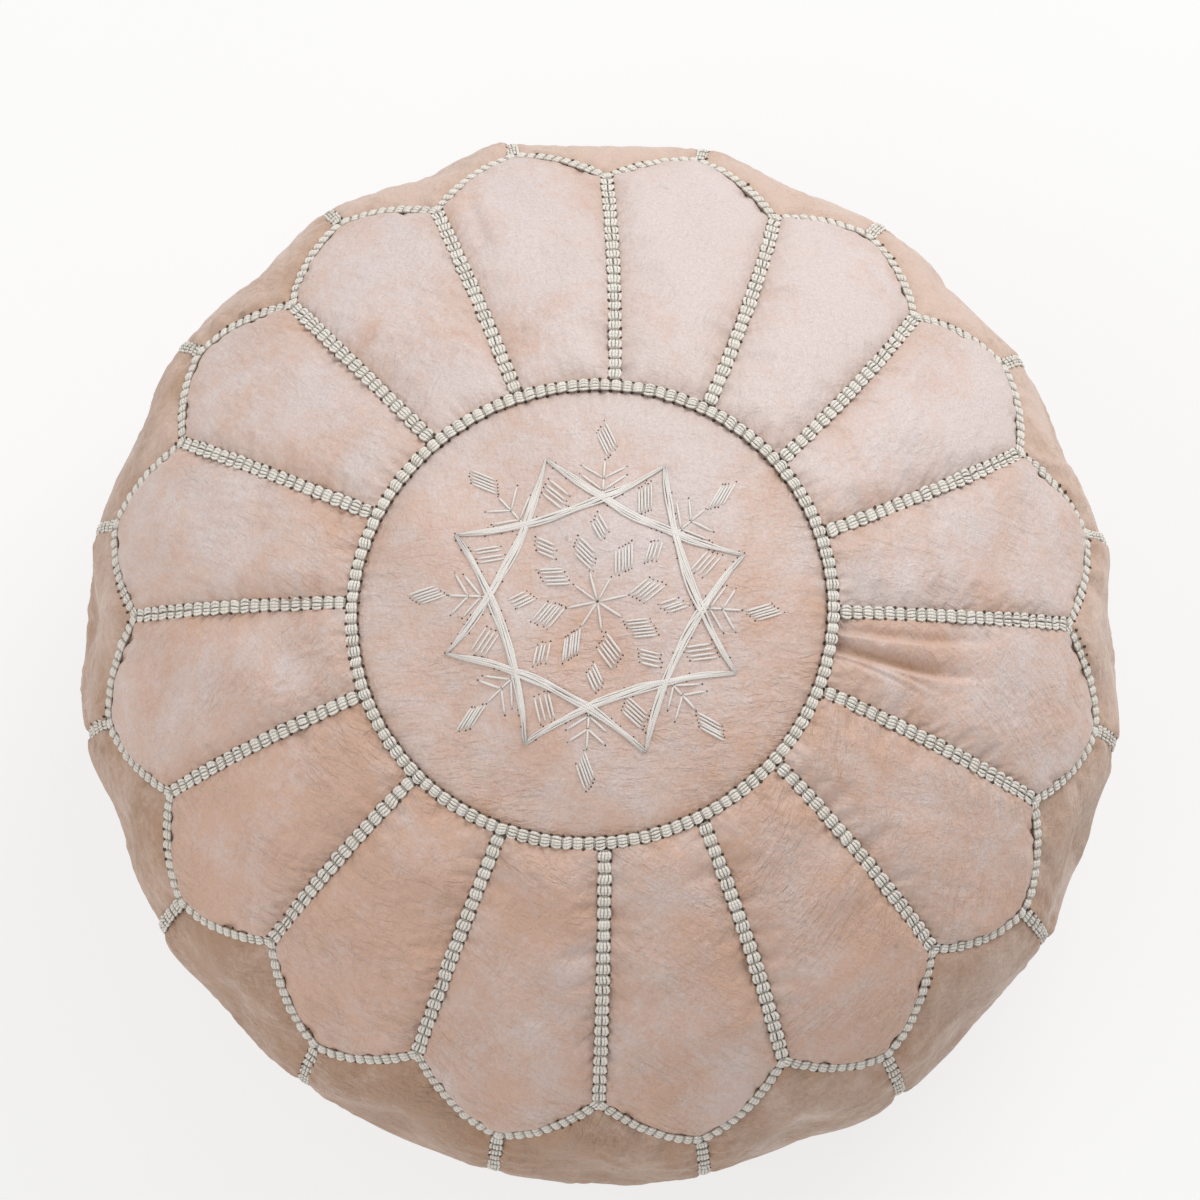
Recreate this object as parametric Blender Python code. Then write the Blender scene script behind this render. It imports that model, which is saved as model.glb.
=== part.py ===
"""Round leather floor pouf: a braided leather cover, its zip, and the filled bag inside it.

Metres, +Z up. The origin is the middle of the base, on the floor, and -Y is the front.
The cover is one surface of revolution, walked by two numbers: an angle round +Z and a station,
which is the distance along the cover's outline from the middle of the top.
"""

import math

import bmesh
import bpy
import numpy as np
from mathutils import Vector

# The cover's outline
RADIUS = 0.269
HEIGHT = 0.325
WIDEST_Z = 0.155
TOP_FULLNESS = 0.52
SHOULDER_FULLNESS = 0.45
SIDE_FULLNESS = 0.42
FLAT_BASE_RADIUS = 0.185
BASE_SEAM_RADIUS = 0.205
MEDALLION_OVAL = 0.02
RIM_OVAL = -0.007
RIM_SKEW = -0.009
OUTLINE_POINTS = 300

# The cover's panels
PANELS = 16
PITCH = math.tau / PANELS
LEATHER = 0.0025
SEAM_GAP = 0.0012
MEDALLION_RADIUS = 0.1149
MEDALLION_SHIFT = 0.0044
MEDALLION_SKEW = 0.0013
FORK_RADIUS = 0.2302
FORK_WAVE = 0.0038
SCALLOP_DEPTH = 0.036
SCALLOP_POINT = 1.45
PETAL_BULGE = 0.004
SIDE_FLATTENING = 0.004
# Degrees a seam leans, near the medallion and far from it: even part, then shares of cos, sin and sin 2a
NEAR_LEAN = (-1.2, 1.35, -1.96, -1.64)
FAR_LEAN = (-0.5, 1.7, -0.2, 0.0)

# Braids: width, height above the leather, and clearance under them
RING_BRAID_WIDTH = 0.0064
PETAL_BRAID_WIDTH = 0.0070
SCALLOP_BRAID_WIDTH = 0.0054
SIDE_BRAID_WIDTH = 0.0070
BASE_BRAID_WIDTH = 0.0060
BRAID_HEIGHT = 0.0036
BRAID_CLEARANCE = 0.0007
BRAID_TOP_SHARE = 0.6

# Thread star on the medallion
STAR_MIDDLE = Vector((-0.0018, 0.0014))
STAR_RADIUS = 0.0732
STAR_BOW = 0.093
STAR_TURN = math.radians(-4.0)
STAR_WIDTH = 0.0034
STAR_TIP_WIDTH = 0.0014
STAR_HEIGHT = 0.0012
STAR_CLEARANCE = 0.0003

# Zip, in the recess of the base
ZIP_Z = 0.0088
ZIP_HALF_LENGTH = 0.148
SLOT_HALF_WIDTH = 0.008
SLOT_HALF_LENGTH = 0.158
SLOT_END = 0.014
BASE_SEAM_SHARE = 0.97
RECESS_DEPTH = 0.0055
RECESS_REACH = 0.027
TAPE_HALF_LENGTH = 0.163
TAPE_INNER = 0.0040
TAPE_OUTER = 0.0170
TAPE_THICKNESS = 0.0010
TOOTH_PITCH = 0.005
TOOTH_SHARE = 0.46
TOOTH_TIP = 0.0008
TOOTH_ROOT = 0.0024
TOOTH_SPINE = 0.0037
TOOTH_THICKNESS = 0.0028
STOP_LENGTH = 0.004
METAL_CLEARANCE = 0.0004

# Zip slider, from the middle of its channel, and its pull
SLIDER_X = 0.136
SLIDER_HALF_LENGTH = 0.008
SLIDER_HALF_WIDTH = 0.006
CHANNEL_HALF_HEIGHT = 0.0019
PLATE_THICKNESS = 0.0016
ROOF_THICKNESS = 0.0013
POST_SPAN = (0.5, 0.9)
POST_HALF_WIDTH = 0.00045
FLANGE_SPAN = (0.82, 0.99)
FLANGE_LENGTH_SHARE = 0.98
HINGE_DROP = 0.0046
TUNNEL_HALF_HEIGHT = 0.0011
TUNNEL_HALF_LENGTH = 0.0026
ARCH_BAR = 0.0012
PULL_LENGTH = 0.030
PULL_WIDTH = 0.0084
PULL_THICKNESS = 0.0014
PULL_WINDOW_LENGTH = 0.0078
PULL_WINDOW_WIDTH = 0.0038
PULL_PIN_HALF = 0.0006

# Filled bag inside the cover
BAG_INSET = 0.0135
BAG_CLOTH = 0.0012
BAG_FLOOR_Z = 0.020
BAG_MOUTH_RADIUS = 0.041
BAG_NECK_Z = 0.0145
CORD_RADIUS = 0.0017
CORD_CLEARANCE = 0.0005
FILLING_INSET = 0.0185
FILLING_FLOOR_Z = 0.0235
OUTLINE_STEPS = 10
BAG_SIDES = 24

SHARP_ANGLE = math.radians(40.0)


def bezier(points, steps):
    """Points along a cubic curve."""
    t = np.linspace(0.0, 1.0, steps)[:, None]
    a, b, c, d = (np.array(p, float) for p in points)
    return (1 - t) ** 3 * a + 3 * (1 - t) ** 2 * t * b + 3 * (1 - t) * t**2 * c + t**3 * d


def cover_outline():
    """Radius, height and station along the outline, from the middle of the top to the flat base."""
    shoulder_z = WIDEST_Z + SHOULDER_FULLNESS * (HEIGHT - WIDEST_Z)
    crown = (TOP_FULLNESS * RADIUS, HEIGHT)
    widest = (RADIUS, WIDEST_Z)
    top = bezier(((0, HEIGHT), crown, (RADIUS, shoulder_z), widest), OUTLINE_POINTS)
    waist = (RADIUS, SIDE_FULLNESS * WIDEST_Z)
    heel = (0.5 * (RADIUS + FLAT_BASE_RADIUS), 0)
    side = bezier((widest, waist, heel, (FLAT_BASE_RADIUS, 0)), OUTLINE_POINTS)
    line = np.vstack([top, side[1:]])
    steps = np.hypot(*np.diff(line, axis=0).T)
    return line[:, 0], line[:, 1], np.concatenate([[0.0], np.cumsum(steps)])


LINE_R, LINE_Z, LINE_S = cover_outline()
WIDEST_INDEX = int(np.argmax(LINE_R))
WIDEST_S = float(LINE_S[WIDEST_INDEX])


def top_station(radius):
    """Station of a radius on the upper half of the cover."""
    return float(np.interp(radius, LINE_R[: WIDEST_INDEX + 1], LINE_S[: WIDEST_INDEX + 1]))


def lower_station(radius):
    """Station of a radius on the lower half of the cover."""
    return float(np.interp(-radius, -LINE_R[WIDEST_INDEX:], LINE_S[WIDEST_INDEX:]))


FORK_S = top_station(FORK_RADIUS)
BASE_SEAM_S = lower_station(BASE_SEAM_RADIUS)


def smooth(t):
    """Soft step from 0 to 1."""
    t = min(max(t, 0.0), 1.0)
    return t * t * (3 - 2 * t)


def mix(a, b, t):
    """Value between a and b."""
    return a + (b - a) * t


def ring_station(angle):
    """Station of the seam round the medallion, which is cut a little out of round."""
    stray = MEDALLION_SKEW * math.sin(2 * angle) - MEDALLION_SHIFT * math.cos(angle)
    return top_station(MEDALLION_RADIUS + stray)


def fork_station(angle):
    """Station of the forks where a petal seam meets two scallops: farther out on every fourth seam."""
    return top_station(FORK_RADIUS + FORK_WAVE * math.cos(4 * angle))


def reach(station):
    """0 at the medallion's seam, 1 at the forks and beyond them."""
    inner = top_station(MEDALLION_RADIUS)
    return min(max((station - inner) / (FORK_S - inner), 0.0), 1.0)


def lean(angle, station):
    """How far a seam strays from even spacing, because the panels are cut by hand."""
    terms = (1.0, math.cos(angle), math.sin(angle), math.sin(2 * angle))
    near = sum(degrees * term for degrees, term in zip(NEAR_LEAN, terms))
    far = sum(degrees * term for degrees, term in zip(FAR_LEAN, terms))
    return math.radians(mix(near, far, reach(station)))


def seam_angle(number, station):
    """Angle of a seam at a station. Half numbers are the side seams."""
    return number * PITCH + lean(number * PITCH, station)


def side_lift(angle, station):
    """The side panels are pulled nearly flat between their upright seams."""
    across = ((angle - lean(angle, station)) / PITCH + 0.5) % 1.0
    waist = smooth((station - FORK_S) / (WIDEST_S - FORK_S))
    heel = smooth((BASE_SEAM_S - station) / (BASE_SEAM_S - WIDEST_S))
    return -SIDE_FLATTENING * waist * heel * math.sin(math.pi * across) ** 2


def outline_at(station):
    """Radius, height and outward direction (radial, upward) at a station."""
    r = float(np.interp(station, LINE_S, LINE_R))
    z = float(np.interp(station, LINE_S, LINE_Z))
    before, after = station - 0.001, station + 0.001
    run = float(np.interp(after, LINE_S, LINE_R) - np.interp(abs(before), LINE_S, LINE_R))
    if before < 0:
        run += 2 * float(np.interp(-before, LINE_S, LINE_R))
    fall = float(np.interp(after, LINE_S, LINE_Z) - np.interp(abs(before), LINE_S, LINE_Z))
    length = math.hypot(run, fall)
    return r, z, -fall / length, run / length


def out_of_round(radius, angle):
    """Scales in X and Y: a soft, hand-sewn cover is a little oval, and its rim leans to one side."""
    share = max((radius - MEDALLION_RADIUS) / (RADIUS - MEDALLION_RADIUS), 0.0)
    oval = mix(MEDALLION_OVAL, RIM_OVAL, share)
    skew = 1 + RIM_SKEW * share * math.sin(2 * angle)
    return (1 + oval) * skew, (1 - oval) * skew


def on_cover(angle, station, lift=0.0):
    """Point on the cover's outer face, raised by lift along its outward direction."""
    r, z, out, up = outline_at(station)
    raised = lift + side_lift(angle, station)
    wide, deep = out_of_round(r, angle)
    radius = r + out * raised
    return Vector((radius * math.cos(angle) * wide, radius * math.sin(angle) * deep, z + up * raised))


def outward(angle, station):
    """Unit vector out of the cover at a point."""
    _, _, out, up = outline_at(station)
    return Vector((out * math.cos(angle), out * math.sin(angle), up)).normalized()


def scallop_station(petal, across):
    """Station of a petal's outer edge, across from -1 at its first seam to 1 at its second."""
    first = fork_station(petal * PITCH)
    second = fork_station((petal + 1) * PITCH)
    point = 1 - abs(across) ** SCALLOP_POINT
    return mix(first, second, 0.5 + 0.5 * across) + SCALLOP_DEPTH * point


def panel_angle(first_seam, across, station):
    """Angle across a panel, from -1 at its first seam to 1 at the next one."""
    return mix(
        seam_angle(first_seam, station), seam_angle(first_seam + 1, station), 0.5 + 0.5 * across
    )


def scallop_angle(petal, across):
    """Angle of a point on a petal's outer edge."""
    return panel_angle(petal, across, scallop_station(petal, across))


def material(name, colour, roughness, metallic=0.0):
    """Plain surface finish."""
    made = bpy.data.materials.new(name)
    made.use_nodes = True
    shader = made.node_tree.nodes["Principled BSDF"]
    shader.inputs["Base Color"].default_value = (*colour, 1.0)
    shader.inputs["Roughness"].default_value = roughness
    shader.inputs["Metallic"].default_value = metallic
    made.diffuse_color = (*colour, 1.0)
    return made


def make_object(name, mesh_data, finish):
    """Object from a bmesh, with its faces turned outward and its own material."""
    bmesh.ops.recalc_face_normals(mesh_data, faces=mesh_data.faces)
    mesh = bpy.data.meshes.new(name)
    mesh_data.to_mesh(mesh)
    mesh_data.free()
    mesh.shade_smooth()
    mesh.set_sharp_from_angle(angle=SHARP_ANGLE)
    made = bpy.data.objects.new(name, mesh)
    bpy.context.scene.collection.objects.link(made)
    mesh.materials.append(material(name, *finish))
    return made


def thicken_inward(sheet, inside_point, thickness=LEATHER):
    """Gives a sheet its thickness on the side of inside_point."""
    mesh = sheet.data
    face = mesh.polygons[len(mesh.polygons) // 2]
    if face.normal.dot(inside_point - face.center) > 0:
        mesh.flip_normals()
    solid = sheet.modifiers.new("thickness", "SOLIDIFY")
    solid.thickness = thickness
    solid.offset = -1.0
    solid.use_even_offset = True


def sheet_object(name, across_steps, along_steps, point, finish, inside_point):
    """Sheet of leather from a grid: point(across, along) gives its outer face."""
    bm = bmesh.new()
    rows = [[bm.verts.new(point(a, b)) for a in across_steps] for b in along_steps]
    for low, high in zip(rows, rows[1:]):
        for i in range(len(across_steps) - 1):
            bm.faces.new((low[i], low[i + 1], high[i + 1], high[i]))
    made = make_object(name, bm, finish)
    thicken_inward(made, inside_point)
    return made


def steps(low, high, count):
    """Evenly spaced values, both ends included."""
    return [mix(low, high, i / count) for i in range(count + 1)]


LEATHER_FINISH = ((0.68, 0.50, 0.43), 0.55)
SIDE_FINISH = ((0.60, 0.42, 0.35), 0.55)
BASE_FINISH = ((0.55, 0.38, 0.30), 0.60)
THREAD_FINISH = ((0.78, 0.74, 0.66), 0.80)
CLOTH_FINISH = ((0.75, 0.72, 0.66), 0.90)
METAL_FINISH = ((0.72, 0.58, 0.32), 0.35, 1.0)
INSIDE = Vector((0, 0, 0.5 * HEIGHT))


def add_medallion():
    """Round leather in the middle of the top."""
    bm = bmesh.new()
    spokes = 2 * PANELS
    rings = [0.25, 0.5, 0.75, 1.0]
    centre = bm.verts.new(on_cover(0.0, 0.0))
    loops = []
    for share in rings:
        loop = []
        for i in range(spokes):
            angle = math.tau * i / spokes
            edge = ring_station(angle) - 0.5 * SEAM_GAP
            loop.append(bm.verts.new(on_cover(angle, edge * share)))
        loops.append(loop)
    for i in range(spokes):
        j = (i + 1) % spokes
        bm.faces.new((centre, loops[0][i], loops[0][j]))
        for inner, outer in zip(loops, loops[1:]):
            bm.faces.new((inner[i], outer[i], outer[j], inner[j]))
    made = make_object("medallion", bm, LEATHER_FINISH)
    thicken_inward(made, INSIDE)


def add_petal(number):
    """Top panel between two petal seams, from the medallion to its scallop."""

    def point(across, along):
        nominal = (number + 0.5 + 0.5 * across) * PITCH
        start = ring_station(nominal) + 0.5 * SEAM_GAP
        end = scallop_station(number, across) - 0.5 * SEAM_GAP
        station = mix(start, end, along)
        radius = outline_at(station)[0]
        inset = 0.5 * SEAM_GAP / radius / (0.5 * PITCH)
        angle = panel_angle(number, across * (1 - inset), station)
        swell = (1 - across**2) ** 2 * math.sin(math.pi * along) ** 2
        return on_cover(angle, station, PETAL_BULGE * swell)

    name = f"petal_{number + 1:02d}"
    sheet_object(name, steps(-1, 1, 6), steps(0, 1, 5), point, LEATHER_FINISH, INSIDE)


def side_top_station(number, across):
    """Top edge of a side panel: the outer edges of the two petals that meet above it."""
    if across < 0:
        return scallop_station(number - 1, 1 + across)
    return scallop_station(number, across - 1)


def add_side_panel(number):
    """Panel from two scallops, over the rim, down to the base."""

    def point(across, along):
        start = side_top_station(number, across) + 0.5 * SEAM_GAP
        end = BASE_SEAM_S - 0.5 * SEAM_GAP
        station = mix(start, end, along)
        inset = 0.5 * SEAM_GAP / outline_at(station)[0] / (0.5 * PITCH)
        angle = panel_angle(number - 0.5, across * (1 - inset), station)
        return on_cover(angle, station)

    name = f"side_panel_{number + 1:02d}"
    sheet_object(name, steps(-1, 1, 6), steps(0, 1, 8), point, SIDE_FINISH, INSIDE)


def slot_half_width(x):
    """Half the width of the zip's slot: open along the zip, closed to a seam beyond its ends."""
    closed = smooth((abs(x) - SLOT_HALF_LENGTH) / SLOT_END)
    return mix(SLOT_HALF_WIDTH, 0.5 * SEAM_GAP, closed)


def base_z(x, y):
    """Height of the base's outer face: flat on the floor, raised round the zip and at its rim."""
    wide, deep = out_of_round(BASE_SEAM_RADIUS, math.atan2(y, x))
    radius = math.hypot(x / wide, y / deep)
    if radius > FLAT_BASE_RADIUS:
        return outline_at(lower_station(radius))[1]
    beside = 1 - smooth((abs(y) - SLOT_HALF_WIDTH) / RECESS_REACH)
    along = 1 - smooth((abs(x) - SLOT_HALF_LENGTH) / RECESS_REACH)
    return RECESS_DEPTH * beside * along


def add_base_half(name, side):
    """Half of the round base, on one side (+1 or -1 in Y) of the zip."""
    edge_radius = BASE_SEAM_RADIUS - 0.5 * SEAM_GAP
    corner = math.acos(0.5 * SEAM_GAP / edge_radius)
    seam_x = BASE_SEAM_SHARE * edge_radius

    def point(across, along):
        turn = corner * across
        run, rise = edge_radius * math.sin(turn), side * edge_radius * math.cos(turn)
        wide, deep = out_of_round(BASE_SEAM_RADIUS, math.atan2(rise, run))
        outer = Vector((wide * run, deep * rise, 0))
        x = seam_x * across
        inner = Vector((x, side * slot_half_width(x), 0))
        spot = outer.lerp(inner, along)
        spot.z = base_z(spot.x, spot.y)
        return spot

    slot_end = SLOT_HALF_LENGTH / seam_x
    seam_start = (SLOT_HALF_LENGTH + SLOT_END) / seam_x
    half = [0.0, 0.2, 0.4, 0.6, slot_end, seam_start, 1.0]
    across_steps = [-a for a in reversed(half[1:])] + half
    along_steps = [0.0, 0.05, 0.1, 0.45, 0.83, 0.89, 0.95, 1.0]
    sheet_object(name, across_steps, along_steps, point, BASE_FINISH, INSIDE)


def braid_section(path, index, closed, width, height, clearance):
    """Four corners of a braid at a path point: first side low and high, second side high and low."""
    count = len(path)
    angle, station, share = path[index]
    after = path[(index + 1) % count] if closed else path[min(index + 1, count - 1)]
    before = path[index - 1] if closed or index else path[0]
    middle = on_cover(angle, station)
    up = outward(angle, station)
    run = on_cover(after[0], after[1]) - on_cover(before[0], before[1])
    aside = run.cross(up).normalized()
    half = 0.5 * width * share
    return [
        middle - aside * half + up * clearance,
        middle - aside * half * BRAID_TOP_SHARE + up * height,
        middle + aside * half * BRAID_TOP_SHARE + up * height,
        middle + aside * half + up * clearance,
    ]


def join_sections(bm, first, second, skip_side=None):
    """Four walls between two sections, leaving out one for a branch."""
    for i in range(4):
        if i != skip_side:
            j = (i + 1) % 4
            bm.faces.new((first[i], first[j], second[j], second[i]))


def braid_net(name, loop, width, branches, branch_width):
    """Closed loop of braid, with branches that leave its first side.

    loop holds (angle, station, width share); branches maps the index of the loop point where a
    branch starts to the branch's own path, which leaves between that point and the next one.
    """
    bm = bmesh.new()
    sections = [
        [bm.verts.new(p) for p in braid_section(loop, i, True, width, BRAID_HEIGHT, BRAID_CLEARANCE)]
        for i in range(len(loop))
    ]
    for i, section in enumerate(sections):
        following = sections[(i + 1) % len(sections)]
        join_sections(bm, section, following)
        if i not in branches:
            continue
        wall = {section[0], section[1], following[0], following[1]}
        bm.faces.remove(next(f for f in section[0].link_faces if set(f.verts) == wall))
        last = [section[0], section[1], following[1], following[0]]
        path = branches[i]
        for j in range(len(path)):
            corners = braid_section(path, j, False, branch_width, BRAID_HEIGHT, BRAID_CLEARANCE)
            if (corners[0] - last[0].co).length > (corners[3] - last[0].co).length:
                corners.reverse()
            new = [bm.verts.new(p) for p in corners]
            join_sections(bm, last, new)
            last = new
        bm.faces.new(last)
    return make_object(name, bm, THREAD_FINISH)


def add_medallion_braid():
    """Braid over the seam round the medallion."""
    count = 4 * PANELS
    loop = [(math.tau * i / count, ring_station(math.tau * i / count), 1.0) for i in range(count)]
    braid_net("medallion_braid", loop, RING_BRAID_WIDTH, {}, 0.0)


def add_petal_braid():
    """Braid over the scallops, with a branch over each petal seam."""
    loop = []
    branches = {}
    for petal in range(PANELS):
        half_share = 0.5 * PETAL_BRAID_WIDTH / (0.5 * PITCH * FORK_RADIUS)
        for across in steps(-1 + half_share, 1 - half_share, 8):
            loop.append((scallop_angle(petal, across), scallop_station(petal, across), 1.0))
        seam = petal + 1
        start = fork_station(seam * PITCH) - 0.5 * PETAL_BRAID_WIDTH - 0.5 * SCALLOP_BRAID_WIDTH
        end = ring_station(seam * PITCH) + 0.5 * RING_BRAID_WIDTH + SEAM_GAP
        branches[len(loop) - 1] = [(seam_angle(seam, s), s, 1.0) for s in steps(start, end, 6)]
    braid_net("petal_braid", loop, SCALLOP_BRAID_WIDTH, branches, PETAL_BRAID_WIDTH)


def add_side_braid():
    """Braid over the base seam, with a branch up each side seam to its petal's point."""
    loop = []
    branches = {}
    half_share = 0.5 * SIDE_BRAID_WIDTH / (0.5 * PITCH * BASE_SEAM_RADIUS)
    for panel in range(PANELS):
        for across in steps(-1 + half_share, 1 - half_share, 3):
            loop.append((panel_angle(panel - 0.5, across, BASE_SEAM_S), BASE_SEAM_S, 1.0))
        start = BASE_SEAM_S - 0.5 * SIDE_BRAID_WIDTH - 0.5 * BASE_BRAID_WIDTH
        end = scallop_station(panel, 0.0) + 0.5 * SCALLOP_BRAID_WIDTH + SEAM_GAP
        seam = panel + 0.5
        branches[len(loop) - 1] = [(seam_angle(seam, s), s, 1.0) for s in steps(start, end, 12)]
    braid_net("side_braid", loop, BASE_BRAID_WIDTH, branches, SIDE_BRAID_WIDTH)


def star_square(name, turn):
    """One of the star's two squares, its sides bowed inward and thin at the corners."""
    sides, side_steps = 4, 4
    bm = bmesh.new()
    path = []
    for side in range(sides):
        a = turn + side * math.tau / sides
        first = Vector((math.cos(a), math.sin(a)))
        second = Vector((-first.y, first.x))
        for i in range(side_steps):
            t = i / side_steps
            spot = first.lerp(second, t) - (first + second).normalized() * STAR_BOW * 4 * t * (1 - t)
            spot = STAR_MIDDLE + spot * STAR_RADIUS
            share = mix(STAR_TIP_WIDTH, STAR_WIDTH, math.sin(math.pi * t)) / STAR_WIDTH
            path.append((math.atan2(spot.y, spot.x), top_station(spot.length), share))
    sections = [
        [bm.verts.new(p) for p in braid_section(path, i, True, STAR_WIDTH, STAR_HEIGHT, STAR_CLEARANCE)]
        for i in range(len(path))
    ]
    for section, following in zip(sections, sections[1:] + sections[:1]):
        join_sections(bm, section, following)
    return make_object(name, bm, THREAD_FINISH)


def guide(made):
    """Marks an object that only shapes another one."""
    made.hide_render = True
    made.display_type = "WIRE"
    return made


def combine(target, other, operation):
    """Joins or cuts target with a guide."""
    change = target.modifiers.new(operation.lower(), "BOOLEAN")
    change.operation = operation
    change.solver = "EXACT"
    change.object = guide(other)


def add_star_embroidery():
    """Eight-pointed star of thread: two bowed squares sewn through each other."""
    star = star_square("star_embroidery", STAR_TURN + 0.5 * math.tau / 8)
    combine(star, star_square("star_second_square", STAR_TURN + 1.5 * math.tau / 8), "UNION")


def box(name, low, high, finish):
    """Box between two corners."""
    bm = bmesh.new()
    bmesh.ops.create_cube(bm, size=1.0)
    low, high = Vector(low), Vector(high)
    for vert in bm.verts:
        vert.co = Vector(mix(low[i], high[i], vert.co[i] + 0.5) for i in range(3))
    return make_object(name, bm, finish)


def side_box(name, side, inner, outer, x_range, half_height, finish):
    """Box beside the zip's middle line, on one side of it, centred on the zip's height."""
    near, far = sorted((side * inner, side * outer))
    low = (x_range[0], near, ZIP_Z - half_height)
    high = (x_range[1], far, ZIP_Z + half_height)
    return box(name, low, high, finish)


def add_zip_tape(name, side):
    """Woven tape that holds one row of teeth and is sewn to one half of the base."""
    ends = (-TAPE_HALF_LENGTH, TAPE_HALF_LENGTH)
    side_box(name, side, TAPE_INNER, TAPE_OUTER, ends, 0.5 * TAPE_THICKNESS, CLOTH_FINISH)


def add_zip_teeth(name, side):
    """One row of teeth on its cord. The two rows are set half a pitch apart."""
    count = int(2 * ZIP_HALF_LENGTH / TOOTH_PITCH)
    shift = 0.25 * TOOTH_PITCH * side
    outline = []
    for i in range(count):
        middle = (i - 0.5 * (count - 1)) * TOOTH_PITCH + shift
        half = 0.5 * TOOTH_SHARE * TOOTH_PITCH
        outline += [
            (middle - half, TOOTH_ROOT),
            (middle - half, TOOTH_TIP),
            (middle + half, TOOTH_TIP),
            (middle + half, TOOTH_ROOT),
        ]
    outline += [(ZIP_HALF_LENGTH, TOOTH_ROOT), (ZIP_HALF_LENGTH, TOOTH_SPINE)]
    outline += [(-ZIP_HALF_LENGTH, TOOTH_SPINE), (-ZIP_HALF_LENGTH, TOOTH_ROOT)]
    bm = bmesh.new()
    low_z = ZIP_Z - 0.5 * TOOTH_THICKNESS
    face = bm.faces.new([bm.verts.new((x, side * y, low_z)) for x, y in outline])
    raised = bmesh.ops.extrude_face_region(bm, geom=[face])["geom"]
    moved = [part for part in raised if isinstance(part, bmesh.types.BMVert)]
    bmesh.ops.translate(bm, vec=(0, 0, TOOTH_THICKNESS), verts=moved)
    make_object(name, bm, METAL_FINISH)


def add_zip_stops():
    """Two stops at the closed end, one on each row, and one across both rows at the open end."""
    half_height = 0.5 * TOOTH_THICKNESS + METAL_CLEARANCE
    start = ZIP_HALF_LENGTH + METAL_CLEARANCE
    end = start + STOP_LENGTH
    for name, side in (("zip_top_stop_front", -1), ("zip_top_stop_back", 1)):
        side_box(name, side, TOOTH_TIP, TOOTH_SPINE, (start, end), half_height, METAL_FINISH)
    low = (-end, -TOOTH_SPINE, ZIP_Z - half_height)
    high = (-start, TOOTH_SPINE, ZIP_Z + half_height)
    box("zip_bottom_stop", low, high, METAL_FINISH)


def add_zip_slider():
    """Slider: two plates on a thin post between the rows of teeth, with an arch for the pull."""
    length, width = SLIDER_HALF_LENGTH, SLIDER_HALF_WIDTH
    plate_top = ZIP_Z - CHANNEL_HALF_HEIGHT
    plate_low = plate_top - PLATE_THICKNESS
    roof_low = ZIP_Z + CHANNEL_HALF_HEIGHT
    roof_top = roof_low + ROOF_THICKNESS
    x = SLIDER_X
    start, end = x - length, x + length
    slider = box("zip_slider", (start, -width, plate_low), (end, width, plate_top), METAL_FINISH)
    roof = box("slider_roof", (start, -width, roof_low), (end, width, roof_top), METAL_FINISH)
    combine(slider, roof, "UNION")
    overlap = 0.5 * PLATE_THICKNESS
    post_start, post_end = (x + share * length for share in POST_SPAN)
    post_low = (post_start, -POST_HALF_WIDTH, plate_top - overlap)
    post_high = (post_end, POST_HALF_WIDTH, roof_low + overlap)
    combine(slider, box("slider_post", post_low, post_high, METAL_FINISH), "UNION")
    flange_top = ZIP_Z - 0.5 * TAPE_THICKNESS - METAL_CLEARANCE
    flange_half = FLANGE_LENGTH_SHARE * length
    for name, side in (("slider_flange_front", -1), ("slider_flange_back", 1)):
        near, far = sorted(side * share * width for share in FLANGE_SPAN)
        low = (x - flange_half, near, plate_top - overlap)
        combine(slider, box(name, low, (x + flange_half, far, flange_top), METAL_FINISH), "UNION")
    hinge_z = ZIP_Z - HINGE_DROP
    arch_half = TUNNEL_HALF_LENGTH + ARCH_BAR
    low = (x - arch_half, -ARCH_BAR, hinge_z - TUNNEL_HALF_HEIGHT - ARCH_BAR)
    high = (x + arch_half, ARCH_BAR, plate_low + overlap)
    combine(slider, box("slider_arch", low, high, METAL_FINISH), "UNION")
    low = (x - TUNNEL_HALF_LENGTH, -2 * ARCH_BAR, hinge_z - TUNNEL_HALF_HEIGHT)
    high = (x + TUNNEL_HALF_LENGTH, 2 * ARCH_BAR, hinge_z + TUNNEL_HALF_HEIGHT)
    combine(slider, box("slider_tunnel", low, high, METAL_FINISH), "DIFFERENCE")


def add_zip_pull():
    """Flat pull. Its end bar passes through the slider's arch, and its origin is on that bar's axis."""
    bm = bmesh.new()
    half_width = 0.5 * PULL_WIDTH
    low_z = -0.5 * PULL_THICKNESS
    outline = [(PULL_PIN_HALF, -half_width), (PULL_PIN_HALF, half_width)]
    end_middle = -PULL_LENGTH + half_width
    for i in range(9):
        turn = math.pi * i / 8
        outline.append((end_middle - half_width * math.sin(turn), half_width * math.cos(turn)))
    face = bm.faces.new([bm.verts.new((x, y, low_z)) for x, y in outline])
    raised = bmesh.ops.extrude_face_region(bm, geom=[face])["geom"]
    moved = [part for part in raised if isinstance(part, bmesh.types.BMVert)]
    bmesh.ops.translate(bm, vec=(0, 0, PULL_THICKNESS), verts=moved)
    pull = make_object("zip_pull", bm, METAL_FINISH)
    window = box(
        "pull_window",
        (-PULL_PIN_HALF - PULL_WINDOW_LENGTH, -0.5 * PULL_WINDOW_WIDTH, -PULL_THICKNESS),
        (-PULL_PIN_HALF, 0.5 * PULL_WINDOW_WIDTH, PULL_THICKNESS),
        METAL_FINISH,
    )
    combine(pull, window, "DIFFERENCE")
    for made in (pull, window):
        made.location = (SLIDER_X, 0, ZIP_Z - HINGE_DROP)


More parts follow.
